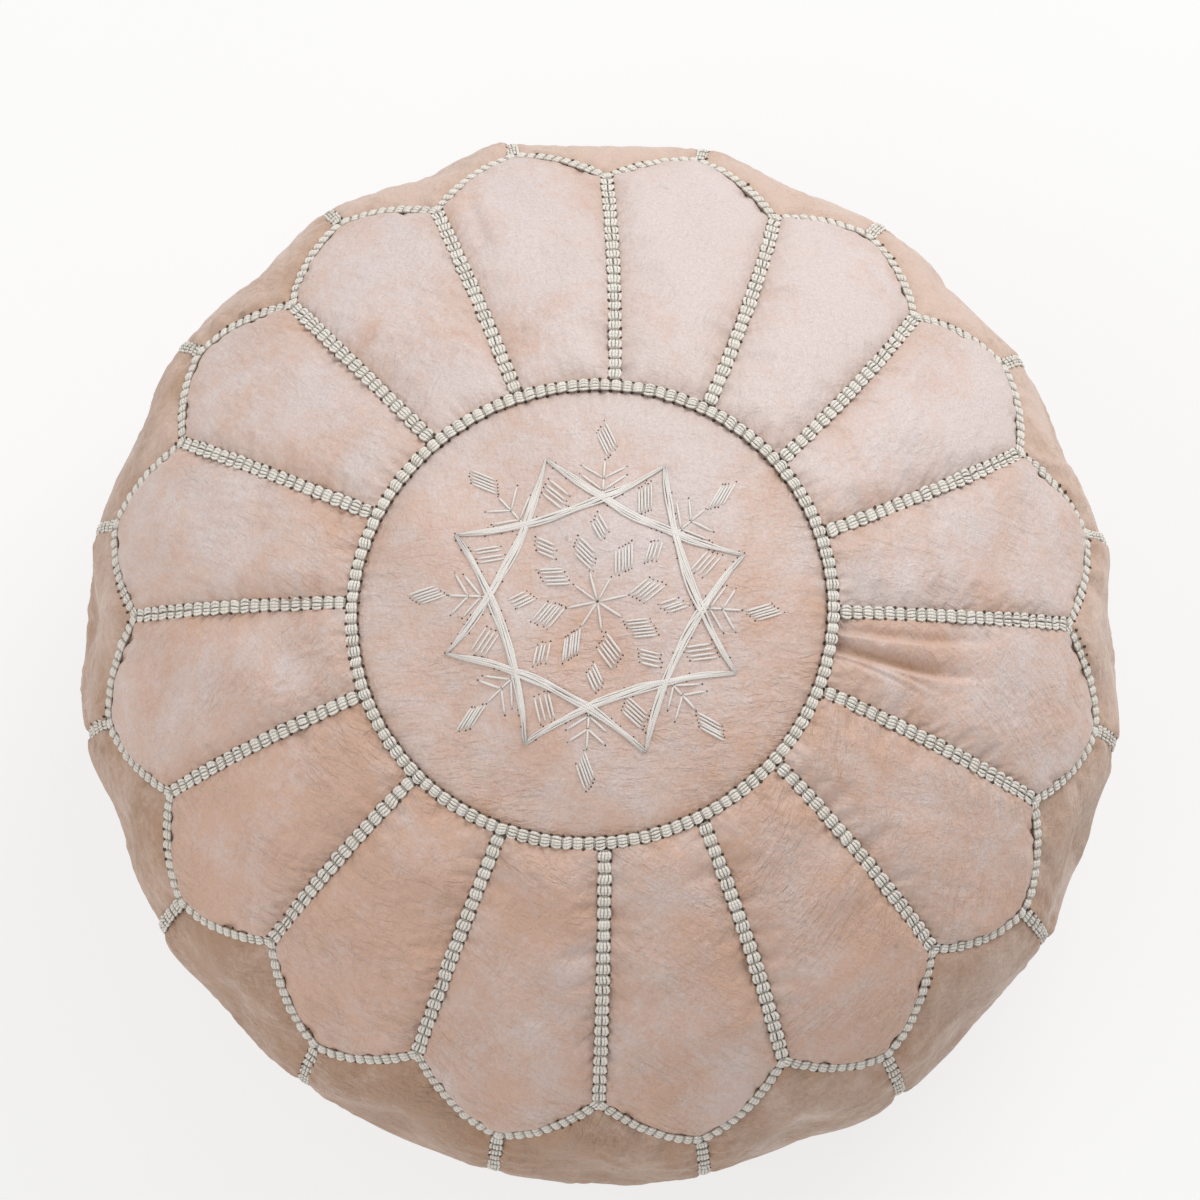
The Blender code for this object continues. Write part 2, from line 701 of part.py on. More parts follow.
def lathe(name, outline, count, finish):
    """Closed solid from an outline of (radius, height) points turned about the Z axis."""
    bm = bmesh.new()
    loops = []
    for radius, z in outline:
        if radius < 1e-6:
            loops.append([bm.verts.new((0, 0, z))] * count)
            continue
        turns = [math.tau * i / count for i in range(count)]
        loops.append([bm.verts.new((radius * math.cos(t), radius * math.sin(t), z)) for t in turns])
    closed = outline[0][0] > 1e-6
    pairs = list(zip(loops, loops[1:])) + ([(loops[-1], loops[0])] if closed else [])
    for low, high in pairs:
        for i in range(count):
            j = (i + 1) % count
            corners = list(dict.fromkeys((low[i], low[j], high[j], high[i])))
            if len(corners) > 2:
                bm.faces.new(corners)
    return make_object(name, bm, finish)


def inset_outline(inset, floor_z, count):
    """Outline of the cover moved inward, from the middle of the top down to a flat floor."""
    points = []
    for station in steps(0.0, BASE_SEAM_S, 20 * count):
        r, z, out, up = outline_at(station)
        points.append((max(r - inset * out, 0.0), z - inset * up))
    above = [point for point in points if point[1] > floor_z]
    corner_radius = above[-1][0]
    chosen = [above[round(i * (len(above) - 1) / count)] for i in range(count)]
    return chosen + [(corner_radius, floor_z)]


def add_inner_bag():
    """Cotton bag, open at a neck above the zip."""
    outer = inset_outline(BAG_INSET, BAG_FLOOR_Z, OUTLINE_STEPS)
    inner = inset_outline(BAG_INSET + BAG_CLOTH, BAG_FLOOR_Z + BAG_CLOTH, OUTLINE_STEPS)
    mouth = BAG_MOUTH_RADIUS
    outer += [(mouth, BAG_FLOOR_Z), (mouth, BAG_NECK_Z)]
    inner += [(mouth - BAG_CLOTH, BAG_FLOOR_Z + BAG_CLOTH), (mouth - BAG_CLOTH, BAG_NECK_Z)]
    outline = outer + list(reversed(inner))
    lathe("inner_bag", outline, BAG_SIDES, CLOTH_FINISH)


def add_bag_drawcord():
    """Cord round the bag's neck."""
    middle_radius = BAG_MOUTH_RADIUS + CORD_RADIUS + CORD_CLEARANCE
    middle_z = BAG_FLOOR_Z - CORD_RADIUS - CORD_CLEARANCE
    sides = 6
    outline = []
    for i in range(sides):
        turn = math.tau * i / sides
        run, rise = CORD_RADIUS * math.cos(turn), CORD_RADIUS * math.sin(turn)
        outline.append((middle_radius + run, middle_z + rise))
    lathe("bag_drawcord", outline, BAG_SIDES, THREAD_FINISH)


def add_stuffing():
    """Filling: one soft mass that fills the bag."""
    outline = inset_outline(FILLING_INSET, FILLING_FLOOR_Z, OUTLINE_STEPS) + [(0.0, FILLING_FLOOR_Z)]
    lathe("stuffing", outline, BAG_SIDES, CLOTH_FINISH)


def build():
    """The whole pouf."""
    for old in list(bpy.data.objects):
        bpy.data.objects.remove(old, do_unlink=True)
    add_medallion()
    for number in range(PANELS):
        add_petal(number)
        add_side_panel(number)
    add_base_half("base_half_front", -1)
    add_base_half("base_half_back", 1)
    add_medallion_braid()
    add_petal_braid()
    add_side_braid()
    add_star_embroidery()
    add_zip_tape("zip_tape_front", -1)
    add_zip_tape("zip_tape_back", 1)
    add_zip_teeth("zip_teeth_front", -1)
    add_zip_teeth("zip_teeth_back", 1)
    add_zip_stops()
    add_zip_slider()
    add_zip_pull()
    add_inner_bag()
    add_bag_drawcord()
    add_stuffing()


build()
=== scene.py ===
"""Visual model of the leather pouf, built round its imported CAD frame.

Metres, +Z up, -Y to the front, origin in the middle of the base. A place on the cover is an angle
round +Z and a station, which is the distance along the cover's outline from the middle of the top.
"""

import math

import bpy
import numpy as np
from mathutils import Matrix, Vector
from mathutils.bvhtree import BVHTree


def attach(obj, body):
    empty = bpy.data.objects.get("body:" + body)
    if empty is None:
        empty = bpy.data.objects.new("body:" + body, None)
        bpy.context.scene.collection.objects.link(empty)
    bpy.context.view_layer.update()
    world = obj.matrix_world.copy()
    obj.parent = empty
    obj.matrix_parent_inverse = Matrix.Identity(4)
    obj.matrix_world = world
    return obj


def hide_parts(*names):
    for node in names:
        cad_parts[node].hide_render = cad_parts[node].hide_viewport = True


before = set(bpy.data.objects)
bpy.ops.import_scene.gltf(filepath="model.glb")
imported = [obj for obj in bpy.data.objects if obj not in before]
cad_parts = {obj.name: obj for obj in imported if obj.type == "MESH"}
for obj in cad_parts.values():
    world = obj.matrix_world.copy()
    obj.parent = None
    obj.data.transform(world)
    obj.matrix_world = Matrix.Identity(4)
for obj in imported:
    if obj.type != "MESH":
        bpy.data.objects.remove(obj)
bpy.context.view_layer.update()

TAU = math.tau
UP = np.array((0.0, 0.0, 1.0))

# The cover's outline and its seams, as the CAD model has them
RADIUS = 0.269
HEIGHT = 0.325
WIDEST_Z = 0.155
TOP_FULLNESS = 0.52
SHOULDER_FULLNESS = 0.45
SIDE_FULLNESS = 0.42
FLAT_BASE_RADIUS = 0.185
BASE_SEAM_RADIUS = 0.205
MEDALLION_OVAL = 0.02
RIM_OVAL = -0.007
RIM_SKEW = -0.009
PANELS = 16
PITCH = TAU / PANELS
MEDALLION_RADIUS = 0.1149
MEDALLION_SHIFT = 0.0044
MEDALLION_SKEW = 0.0013
FORK_RADIUS = 0.2302
FORK_WAVE = 0.0038
SCALLOP_DEPTH = 0.036
SCALLOP_POINT = 1.45
SIDE_FLATTENING = 0.004
OUTLINE_POINTS = 300
# Degrees a seam leans, near the medallion and far from it: even part, then shares of cos, sin and sin 2a
NEAR_LEAN = (-1.2, 1.35, -1.96, -1.64)
FAR_LEAN = (-0.5, 1.7, -0.2, 0.0)

# Leather: its thickness, and half the gap between two pieces in a seam
LEATHER = 0.0022
EDGE_GAP = 0.0004
SEAM_SINK = 0.0016
PETAL_SWELL = 0.0038
SIDE_SWELL = 0.0022
SEAM_REACH = 0.004
TAUT_REACH = 0.0015
FINE_GRID = 0.0015
SIDE_GRID = 1.25 * FINE_GRID
BASE_GRID = (181, 91)

# Gathers where leather is drawn into a seam: depth, reach and wavelength
RING_GATHERS = (0.00028, 0.012, 0.0105)
PETAL_END_GATHERS = (0.00028, 0.009, 0.011)
PETAL_EDGE_GATHERS = (0.00018, 0.008, 0.011)
MEDALLION_GATHERS = (0.0004, 0.010, 0.009)
SIDE_TOP_GATHERS = (0.00065, 0.020, 0.017)
SIDE_LOW_GATHERS = (0.0011, 0.020, 0.011)
SIDE_EDGE_GATHERS = (0.0006, 0.010, 0.012)

# Soft hollows and fine wrinkles in patches: depth and width of each
PETAL_HOLLOWS = (0.0007, 0.045)
PETAL_WRINKLES = (0.00016, 0.006)
SIDE_HOLLOWS = (0.0011, 0.055)
SIDE_WRINKLES = (0.00018, 0.007)
MEDALLION_HOLLOWS = (0.0009, 0.07)
MEDALLION_WRINKLES = (0.00012, 0.008)
BASE_HOLLOWS = (0.00035, 0.03)
BASE_WRINKLES = (0.0001, 0.006)
# Slack creases low on the side: depth and spacing
SLACK_CREASES = (0.0010, 0.021)

# The petal with folds, and the petal with one crease near its outer end: place across, width and depth
FOLDED_PETAL = 15
CREASED_PETAL = 4
CREASE = (0.62, 0.004, 0.0016)
# Folds of the folded petal: across at the ring, half way and at the end, gentle and steep widths,
# depth and length
FOLDS = (
    (0.56, 0.47, 0.74, 0.0042, 0.0017, 0.0036, 0.62),
    (0.13, -0.15, 0.24, 0.0060, 0.0019, 0.0058, 0.56),
    (0.02, -0.16, -0.34, 0.0020, 0.0010, 0.0013, 0.45),
    (-0.10, -0.30, -0.50, 0.0018, 0.0010, 0.0010, 0.42),
)

# Cloth simulation of the cover. Its cloth grows by small shares, least far from the seams and most
# beside them, within a reach
CLOTH_GRID = 0.0036
CLOTH_FRAMES = 22
CLOTH_PRESSURE = 3.0
CLOTH_SHRINK = (-0.004, -0.05)
LOOSE_REACH = 0.016

# Braids: width and length of a cell
RING_BRAID = (0.0066, 0.0054)
PETAL_BRAID = (0.0071, 0.0059)
SCALLOP_BRAID = (0.0057, 0.0053)
SIDE_BRAID = (0.0068, 0.0064)
BASE_BRAID = (0.0060, 0.0058)
BRAID_HEIGHT = 0.0024
LOW_BRAID_HEIGHT = 0.0019
SIDE_BRAID_HEIGHT = 0.0025
BRAID_SINK = 0.0008
SIDE_BRAID_SINK = 0.0015
BRAID_CLEARANCE = 0.0004
CORE_DEPTH = 0.0017
TIE_RADIUS = 0.00045

# Needle holes: depth below the leather, rise above it, and smallest and largest radius
HOLE_DEPTH = 0.0006
HOLE_RISE = 0.00012
BRAID_HOLES = (0.0007, 0.00105)
STITCH_HOLES = (0.0003, 0.00048)

# Embroidery on the medallion
STAR_MIDDLE = np.array((-0.0030, 0.0024))
INNER_MIDDLE = np.array((0.0011, -0.0001))
STAR_RADIUS = 0.0757
STAR_BOW = 0.093
STAR_STRANDS = 6
STAR_TURN = math.radians(-4.0)
STAR_WIDTH = 0.0043
STITCH_RADIUS = 0.00050
# Diamonds of stitches: distance from the middle, length of a stitch and width of its row
INNER_DIAMOND = (0.0246, 0.0128, 0.0104)
SMALL_DIAMOND = (0.0368, 0.0105, 0.0080)
POINT_DIAMOND = (0.0567, 0.0138, 0.0092)
BUD_DIAMOND = (0.0816, 0.0138, 0.0090)
SPRIG_STOPS = (0.0510, 0.0552, 0.0615, 0.0708)
TWIG_LENGTHS = (0.0132, 0.0122)

# Zip opening in the base
SLOT_HALF_WIDTH = 0.008
SLOT_HALF_LENGTH = 0.158
SLOT_END = 0.014
RECESS_DEPTH = 0.0055
RECESS_REACH = 0.027
# Stitches beside the zip: length with its gap, gap, distances of the two rows from the slot, and radius
ZIP_STITCH = 0.0042
ZIP_STITCH_GAP = 0.0012
ZIP_STITCH_ROWS = (0.0022, 0.0058)
ZIP_STITCH_RADIUS = 0.00035

# Bag and filling
BAG_INSET = 0.0135
BAG_CLOTH = 0.0012
BAG_FLOOR_Z = 0.020
BAG_MOUTH_RADIUS = 0.041
BAG_NECK_Z = 0.0145
FILLING_INSET = 0.0185
FILLING_FLOOR_Z = 0.0235
# Drawcord: offset and radius of a ply, turns round the neck and in a tail, and length of a tail
CORD_PLY = 0.0009
CORD_RADIUS = 0.00085
CORD_TURNS = 46
TAIL_TURNS = 9
TAIL_LENGTH = 0.045

# Browns of the leather's grain and marks, and browns of painted shade for its creases and seams
GRAIN_BROWN = (0.46, 0.30, 0.22)
CREASE_SHADE_BROWN = (0.40, 0.24, 0.16)
SEAM_SHADE_BROWN = (0.34, 0.205, 0.13)
WIDE_SEAM_SHADE_TAN = (0.50, 0.31, 0.20)
MARK_BROWN = (0.22, 0.14, 0.10)
# Browns of the thread's cells, and browns of painted shade for its grooves, its ends and its core and ties
CELL_TAN = (0.62, 0.52, 0.38)
GROOVE_SHADE_BROWN = (0.20, 0.16, 0.12)
END_SHADE_BROWN = (0.22, 0.18, 0.14)
CORE_BROWN = (0.15, 0.12, 0.095)
# How far the two painted seam shades reach into the leather
SEAM_SHADE_REACH = 0.0028
WIDE_SEAM_SHADE_REACH = 0.010

# Camera, at the photograph's viewing angle
CAMERA_DISTANCE = 2.5
CAMERA_ELEVATION = math.radians(82.13)
CAMERA_TARGET_Z = 0.16
CAMERA_LENS = 145.4
CAMERA_SHIFT = (-0.00125, 0.0443)


def bezier(points, count):
    """Points along a cubic curve."""
    t = np.linspace(0.0, 1.0, count)[:, None]
    a, b, c, d = (np.array(p, float) for p in points)
    return (1 - t) ** 3 * a + 3 * (1 - t) ** 2 * t * b + 3 * (1 - t) * t**2 * c + t**3 * d


def cover_outline():
    """Radius, height, station and outward direction along the outline, from the top to the base."""
    shoulder_z = WIDEST_Z + SHOULDER_FULLNESS * (HEIGHT - WIDEST_Z)
    crown = (TOP_FULLNESS * RADIUS, HEIGHT)
    top = bezier(((0, HEIGHT), crown, (RADIUS, shoulder_z), (RADIUS, WIDEST_Z)), OUTLINE_POINTS)
    heel = (0.5 * (RADIUS + FLAT_BASE_RADIUS), 0)
    waist = (RADIUS, SIDE_FULLNESS * WIDEST_Z)
    side = bezier(((RADIUS, WIDEST_Z), waist, heel, (FLAT_BASE_RADIUS, 0)), OUTLINE_POINTS)
    line = np.vstack([top, side[1:]])
    station = np.concatenate([[0.0], np.cumsum(np.hypot(*np.diff(line, axis=0).T))])
    run, fall = np.gradient(line[:, 0], station), np.gradient(line[:, 1], station)
    size = np.hypot(run, fall)
    return line[:, 0], line[:, 1], station, -fall / size, run / size


LINE_R, LINE_Z, LINE_S, LINE_OUT, LINE_UP = cover_outline()
WIDEST = int(np.argmax(LINE_R))
WIDEST_S = float(LINE_S[WIDEST])


def top_station(radius):
    """Station of a radius on the upper half of the cover."""
    return np.interp(radius, LINE_R[: WIDEST + 1], LINE_S[: WIDEST + 1])


def lower_station(radius):
    """Station of a radius on the lower half of the cover."""
    return np.interp(-np.asarray(radius), -LINE_R[WIDEST:], LINE_S[WIDEST:])


RING_S = float(top_station(MEDALLION_RADIUS))
FORK_S = float(top_station(FORK_RADIUS))
BASE_SEAM_S = float(lower_station(BASE_SEAM_RADIUS))


def smooth(t):
    """Soft step from 0 to 1."""
    t = np.clip(t, 0.0, 1.0)
    return t * t * (3 - 2 * t)


def mix(a, b, t):
    """Value between a and b."""
    return a + (b - a) * t


def ring_station(angle):
    """Station of the seam round the medallion."""
    stray = MEDALLION_SKEW * np.sin(2 * np.asarray(angle)) - MEDALLION_SHIFT * np.cos(angle)
    return top_station(MEDALLION_RADIUS + stray)


def fork_station(angle):
    """Station of the fork where a petal seam meets two scallops."""
    return top_station(FORK_RADIUS + FORK_WAVE * np.cos(4 * np.asarray(angle)))


def lean(angle, station):
    """How far a seam strays from even spacing."""
    angle = np.asarray(angle)
    terms = (1.0, np.cos(angle), np.sin(angle), np.sin(2 * angle))
    near = sum(degrees * term for degrees, term in zip(NEAR_LEAN, terms))
    far = sum(degrees * term for degrees, term in zip(FAR_LEAN, terms))
    reach = np.clip((station - RING_S) / (FORK_S - RING_S), 0.0, 1.0)
    return np.radians(mix(near, far, reach))


def seam_angle(number, station):
    """Angle of a seam at a station. Half numbers are the side seams."""
    return number * PITCH + lean(number * PITCH, station)


def panel_angle(first_seam, across, station):
    """Angle across a panel, from -1 at its first seam to 1 at the next one."""
    first, second = seam_angle(first_seam, station), seam_angle(first_seam + 1, station)
    return mix(first, second, 0.5 + 0.5 * across)


def scallop_station(petal, across):
    """Station of a petal's outer edge, from -1 at its first seam to 1 at its second."""
    first, second = fork_station(petal * PITCH), fork_station((petal + 1) * PITCH)
    point = 1 - np.abs(across) ** SCALLOP_POINT
    return mix(first, second, 0.5 + 0.5 * across) + SCALLOP_DEPTH * point


def side_lift(angle, station):
    """The side panels are pulled nearly flat between their upright seams."""
    across = (angle - lean(angle, station)) / PITCH + 0.5
    waist = smooth((station - FORK_S) / (WIDEST_S - FORK_S))
    heel = smooth((BASE_SEAM_S - station) / (BASE_SEAM_S - WIDEST_S))
    return -SIDE_FLATTENING * waist * heel * np.sin(math.pi * across) ** 2


def outline_at(station):
    """Radius, height and outward direction of the outline at a station."""
    return [np.interp(station, LINE_S, line) for line in (LINE_R, LINE_Z, LINE_OUT, LINE_UP)]


def half_panel(station):
    """Half a panel's width at a station."""
    return 0.5 * PITCH * outline_at(station)[0]


def outward(angle, station):
    """Unit vectors out of the cover."""
    _, _, out, up = outline_at(station)
    return np.stack([out * np.cos(angle), out * np.sin(angle), up * np.ones_like(angle)], axis=-1)


def out_of_round(radius, angle):
    """Scales in X and Y: the hand-sewn cover is a little oval, and its rim leans to one side."""
    share = np.maximum((radius - MEDALLION_RADIUS) / (RADIUS - MEDALLION_RADIUS), 0.0)
    oval = mix(MEDALLION_OVAL, RIM_OVAL, share)
    skew = 1 + RIM_SKEW * share * np.sin(2 * angle)
    return (1 + oval) * skew, (1 - oval) * skew


def on_cover(angle, station):
    """Points on the cover's outer face."""
    r, z, out, up = outline_at(station)
    raised = side_lift(angle, station)
    wide, deep = out_of_round(r, np.asarray(angle))
    radius = r + out * raised
    x, y = radius * np.cos(angle) * wide, radius * np.sin(angle) * deep
    return np.stack([x, y, z + up * raised], axis=-1)


def waves(points, wavelength, seed, count=14):
    """Smooth random field of about unit size over points, made from seeded sine waves."""
    rng = np.random.default_rng(seed)
    points = np.asarray(points, float)
    ways = rng.normal(size=(points.shape[-1], count))
    ways = ways / np.linalg.norm(ways, axis=0) * TAU / (wavelength * rng.uniform(0.65, 1.6, count))
    return np.sin(points @ ways + rng.uniform(0, TAU, count)).sum(axis=-1) * math.sqrt(2 / count)


def relief(points, size, seed):
    """Random rise and fall over points, of a depth and a width."""
    depth, width = size
    return depth * waves(points, width, seed)


def line_waves(place, wavelength, seed, count=9):
    """Smooth random field of about unit size along one direction."""
    rng = np.random.default_rng(seed)
    steps = TAU / (wavelength * rng.uniform(0.65, 1.6, count))
    turns = rng.uniform(0, TAU, count)
    return np.sin(np.asarray(place)[..., None] * steps + turns).sum(axis=-1) * math.sqrt(2 / count)


def add_mesh(name, points, faces, values=None):
    """Mesh object from points and groups of faces, each group with one number of corners."""
    mesh = bpy.data.meshes.new(name)
    corners = np.concatenate([group.ravel() for group in faces])
    sizes = np.concatenate([np.full(len(group), group.shape[1]) for group in faces])
    starts = np.concatenate([[0], np.cumsum(sizes)[:-1]])
    mesh.vertices.add(len(points))
    mesh.vertices.foreach_set("co", np.ascontiguousarray(points, np.float32).ravel())
    mesh.loops.add(len(corners))
    mesh.loops.foreach_set("vertex_index", corners.astype(np.int32))
    mesh.polygons.add(len(sizes))
    mesh.polygons.foreach_set("loop_start", starts.astype(np.int32))
    mesh.polygons.foreach_set("use_smooth", np.ones(len(sizes), bool))
    for key, value in (values or {}).items():
        value = np.ascontiguousarray(value, np.float32)
        kind, field = ("FLOAT", "value") if value.ndim == 1 else ("FLOAT_VECTOR", "vector")
        mesh.attributes.new(key, kind, "POINT").data.foreach_set(field, value.ravel())
    mesh.update(calc_edges=True)
    made = bpy.data.objects.new(name, mesh)
    bpy.context.scene.collection.objects.link(made)
    return made


def finish_piece(made, material, slot, *nodes, body="pouf"):
    """Gives a piece its material, its body and the CAD nodes it stands for. Its slot is not used."""
    made.data.materials.clear()
    made.data.materials.append(material)
    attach(made, body)
    if nodes:
        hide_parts(*nodes)
    return made


def grid_quads(rows, columns, wrap=False):
    """Faces over a grid of points. Rows run along the station and columns along the angle."""
    index = np.arange(rows * columns).reshape(rows, columns)
    after = np.roll(index, -1, axis=1)
    if not wrap:
        index, after = index[:, :-1], after[:, :-1]
    quads = np.stack([index[:-1], index[1:], after[1:], after[:-1]], axis=-1)
    return quads.reshape(-1, 4)


def closed_sheet(outer, inner):
    """Points and faces of a closed sheet between two grids of points."""
    rows, columns = outer.shape[:2]
    quads = grid_quads(rows, columns)
    count = rows * columns
    index = np.arange(count).reshape(rows, columns)
    loop = np.concatenate([index[:-1, 0], index[-1, :-1], index[:0:-1, -1], index[0, :0:-1]])
    after = np.roll(loop, -1)
    rim = np.stack([after, loop, loop + count, after + count], axis=-1)
    points = np.concatenate([outer.reshape(-1, 3), inner.reshape(-1, 3)])
    return points, [np.concatenate([quads, quads[:, ::-1] + count, rim])]


def unit(vectors):
    """Vectors of length 1."""
    return vectors / np.maximum(np.linalg.norm(vectors, axis=-1, keepdims=True), 1e-12)


def tubes(paths, radii, ups, sides=6, flat=1.0):
    """Closed tubes along many paths with the same number of points, with the length along each."""
    count, steps = paths.shape[:2]
    radii, ups = np.broadcast_to(radii, (count, steps)), np.broadcast_to(ups, paths.shape)
    ahead = unit(np.gradient(paths, axis=1))
    aside = unit(np.cross(ups, ahead))
    above = np.cross(ahead, aside)
    turn = TAU * np.arange(sides) / sides
    across, rise = np.cos(turn)[:, None], flat * np.sin(turn)[:, None]
    ring = aside[:, :, None] * across + above[:, :, None] * rise
    points = paths[:, :, None] + ring * radii[:, :, None, None]
    index = np.arange(count * steps * sides).reshape(count, steps, sides)
    after = np.roll(index, -1, axis=2)
    walls = np.stack([index[:, :-1], after[:, :-1], after[:, 1:], index[:, 1:]], axis=-1)
    caps = np.concatenate([index[:, 0, ::-1], index[:, -1]])
    run = np.cumsum(np.linalg.norm(np.diff(paths, axis=1, prepend=paths[:, :1]), axis=-1), axis=1)
    run = np.repeat(run[:, :, None], sides, axis=2)
    end = np.abs(2 * run / run[:, -1:] - 1)
    spin = np.broadcast_to(turn, run.shape)
    values = {"run": run, "end": end, "spin_x": np.cos(spin), "spin_y": np.sin(spin)}
    values = {key: value.ravel() for key, value in values.items()}
    return points.reshape(-1, 3), [walls.reshape(-1, 4), caps], values


def join_parts(parts):
    """One set of points, faces and values from several."""
    points, faces, values = [], [], {}
    start = 0
    for part_points, part_faces, part_values in parts:
        points.append(part_points)
        faces += [group + start for group in part_faces]
        for key, value in part_values.items():
            values.setdefault(key, []).append(value)
        start += len(part_points)
    return np.concatenate(points), faces, {key: np.concatenate(v) for key, v in values.items()}


def add_thread(name, parts, material, slot, *nodes):
    """One object from many closed parts, kept above the floor."""
    points, faces, values = join_parts(parts)
    points[:, 2] = np.maximum(points[:, 2], 0.0)
    finish_piece(add_mesh(name, points, faces, values), material, slot, *nodes)


def with_cell(part, cell):
    """Part whose points all carry one cell value: 0 for plain thread, -1 for thread in shadow."""
    part[2]["cell"] = np.full(len(part[0]), float(cell))
    return part


def seam_inset(across, station):
    """Place across a panel, kept half a gap away from its seams."""
    return across * (1 - EDGE_GAP / half_panel(station))


def petal_place(number, across, along):
    """Angle and station on a petal. across is -1 to 1 between its seams, along 0 to 1 outward."""
    start = ring_station((number + 0.5 + 0.5 * across) * PITCH) + EDGE_GAP
    station = mix(start, scallop_station(number, across) - EDGE_GAP, along)
    return panel_angle(number, seam_inset(across, station), station), station


def side_place(number, across, along):
    """Angle and station on a side panel, which hangs between two points of the scalloped edge."""
    before, after = scallop_station(number - 1, 1 + across), scallop_station(number, across - 1)
    start = np.where(across < 0, before, after) + EDGE_GAP
    station = mix(start, BASE_SEAM_S - EDGE_GAP, along)
    return panel_angle(number - 0.5, seam_inset(across, station), station), station


class PanelGrid:
    """Grid of places over one panel, with their distances from its seams."""

    def __init__(self, place, number, columns, rows):
        self.number, self.columns, self.rows = number, columns, rows
        self.across, self.along = np.meshgrid(np.linspace(-1, 1, columns), np.linspace(0, 1, rows))
        self.angle, self.station = place(number, self.across, self.along)
        self.points = on_cover(self.angle, self.station)
        self.normals = outward(self.angle, self.station)
        self.half = half_panel(self.station)
        self.aside = self.across * self.half
        self.seam_gap = self.half * (1 - np.abs(self.across))
        self.top_gap, self.low_gap = self.station - self.station[0], self.station[-1] - self.station
        self.gap = np.minimum(np.minimum(self.seam_gap, self.top_gap), self.low_gap)


def fitted_grid(place, number, step):
    """Grid over a panel with about one step between its points."""
    points = PanelGrid(place, number, 9, 9).points
    wide = np.linalg.norm(np.diff(points, axis=1), axis=-1).sum(axis=1).max()
    long = np.linalg.norm(np.diff(points, axis=0), axis=-1).sum(axis=0).max()
    return PanelGrid(place, number, 2 * round(wide / step / 2) + 1, round(long / step) + 1)


COVER_PANELS = [(petal_place, number) for number in range(PANELS)]
COVER_PANELS += [(side_place, number) for number in range(PANELS)]


def cloth_object():
    """Every petal and side panel as one coarse sheet, with the slices and shapes of its grids."""
    points, faces, held, loose, parts = [], [], [], [], []
    start = 0
    for place, number in COVER_PANELS:
        grid = fitted_grid(place, number, CLOTH_GRID)
        points.append(grid.points.reshape(-1, 3))
        faces.append(grid_quads(grid.rows, grid.columns) + start)
        near = grid.gap.ravel()
        held.append(start + np.flatnonzero(near < 1e-7))
        loose.append(np.exp(-near / LOOSE_REACH))
        parts.append((start, grid.rows, grid.columns))
        start += grid.rows * grid.columns
    points = np.concatenate(points)
    made = add_mesh("cover_cloth", points, faces)
    made.vertex_groups.new(name="held").add(np.concatenate(held).tolist(), 1.0, "REPLACE")
    group = made.vertex_groups.new(name="loose")
    for index, weight in enumerate(np.concatenate(loose)):
        group.add([index], float(weight), "REPLACE")
    return made, points, parts


def inflate_cover():
    """How far each panel's grid moves when the stuffed cover is pushed out between its seams."""
    made, points, parts = cloth_object()
    cloth = made.modifiers.new("inflate", "CLOTH")
    setup = cloth.settings
    setup.quality = 4
    setup.mass = 0.3
    setup.tension_stiffness = 30
    setup.compression_stiffness = 30
    setup.shear_stiffness = 20
    setup.bending_stiffness = 3
    setup.air_damping = 2
    setup.use_pressure = True
    setup.uniform_pressure_force = CLOTH_PRESSURE
    setup.vertex_group_mass = "held"
    setup.vertex_group_shrink = "loose"
    setup.shrink_min, setup.shrink_max = CLOTH_SHRINK
    setup.effector_weights.gravity = 0
    cloth.collision_settings.use_collision = False
    scene = bpy.context.scene
    for number in range(1, CLOTH_FRAMES + 1):
        scene.frame_set(number)
    shaped = made.evaluated_get(bpy.context.evaluated_depsgraph_get()).data
    moved = np.zeros(len(points) * 3)
    shaped.vertices.foreach_get("co", moved)
    moves = moved.reshape(-1, 3) - points
    scene.frame_set(1)
    bpy.data.objects.remove(made, do_unlink=True)
    return [moves[start : start + rows * columns].reshape(rows, columns, 3) for start, rows, columns in parts]


def cubic_shares(coarse, fine):
    """Matrix that carries values on a coarse row of points to a finer one."""
    place = np.linspace(0, coarse - 1, fine)
    first = np.clip(np.floor(place).astype(int), 0, coarse - 2)
    t = place - first
    shares = (-t + 2 * t**2 - t**3, 2 - 5 * t**2 + 3 * t**3, t + 4 * t**2 - 3 * t**3, -(t**2) + t**3)
    matrix = np.zeros((fine, coarse))
    for offset, share in enumerate(shares, start=-1):
        column = np.clip(first + offset, 0, coarse - 1)
        np.add.at(matrix, (np.arange(fine), column), 0.5 * share)
    return matrix


def refine(grid, rows, columns):
    """Finer grid of the same values."""
    half_way = np.tensordot(cubic_shares(grid.shape[0], rows), grid, axes=(1, 0))
    return np.moveaxis(np.tensordot(cubic_shares(grid.shape[1], columns), half_way, axes=(1, 1)), 0, 1)


def puckers(gap, place, gathers, seed):
    """Small gathers where leather is drawn into a seam: gap from the seam, place along it."""
    depth, reach, wavelength = gathers
    return depth * np.exp(-gap / reach) * line_waves(place, wavelength, seed)


def stitch_dents(gap, place, braid):
    """The dents between stitches beside a braid."""
    return 0.00022 * np.exp(-((gap - 0.0045) / 0.003) ** 2) * np.cos(TAU * place / braid[1])


def folds(grid):
    """Depth of the folds that run out from the ring across one petal, gentle on one side."""
    sunk = 0
    for start, bend, end, gentle, steep, depth, length in FOLDS:
        t = grid.along / length
        middle = (1 - t) ** 2 * start + 2 * t * (1 - t) * bend + t**2 * end
        away = (grid.across - middle) * grid.half
        width = np.where(away > 0, gentle, steep)
        fade = smooth((length - grid.along) / (0.6 * length)) * smooth(grid.along / 0.03 + 0.35)
        sunk = sunk + depth * fade * np.exp(-((away / width) ** 2))
    return sunk


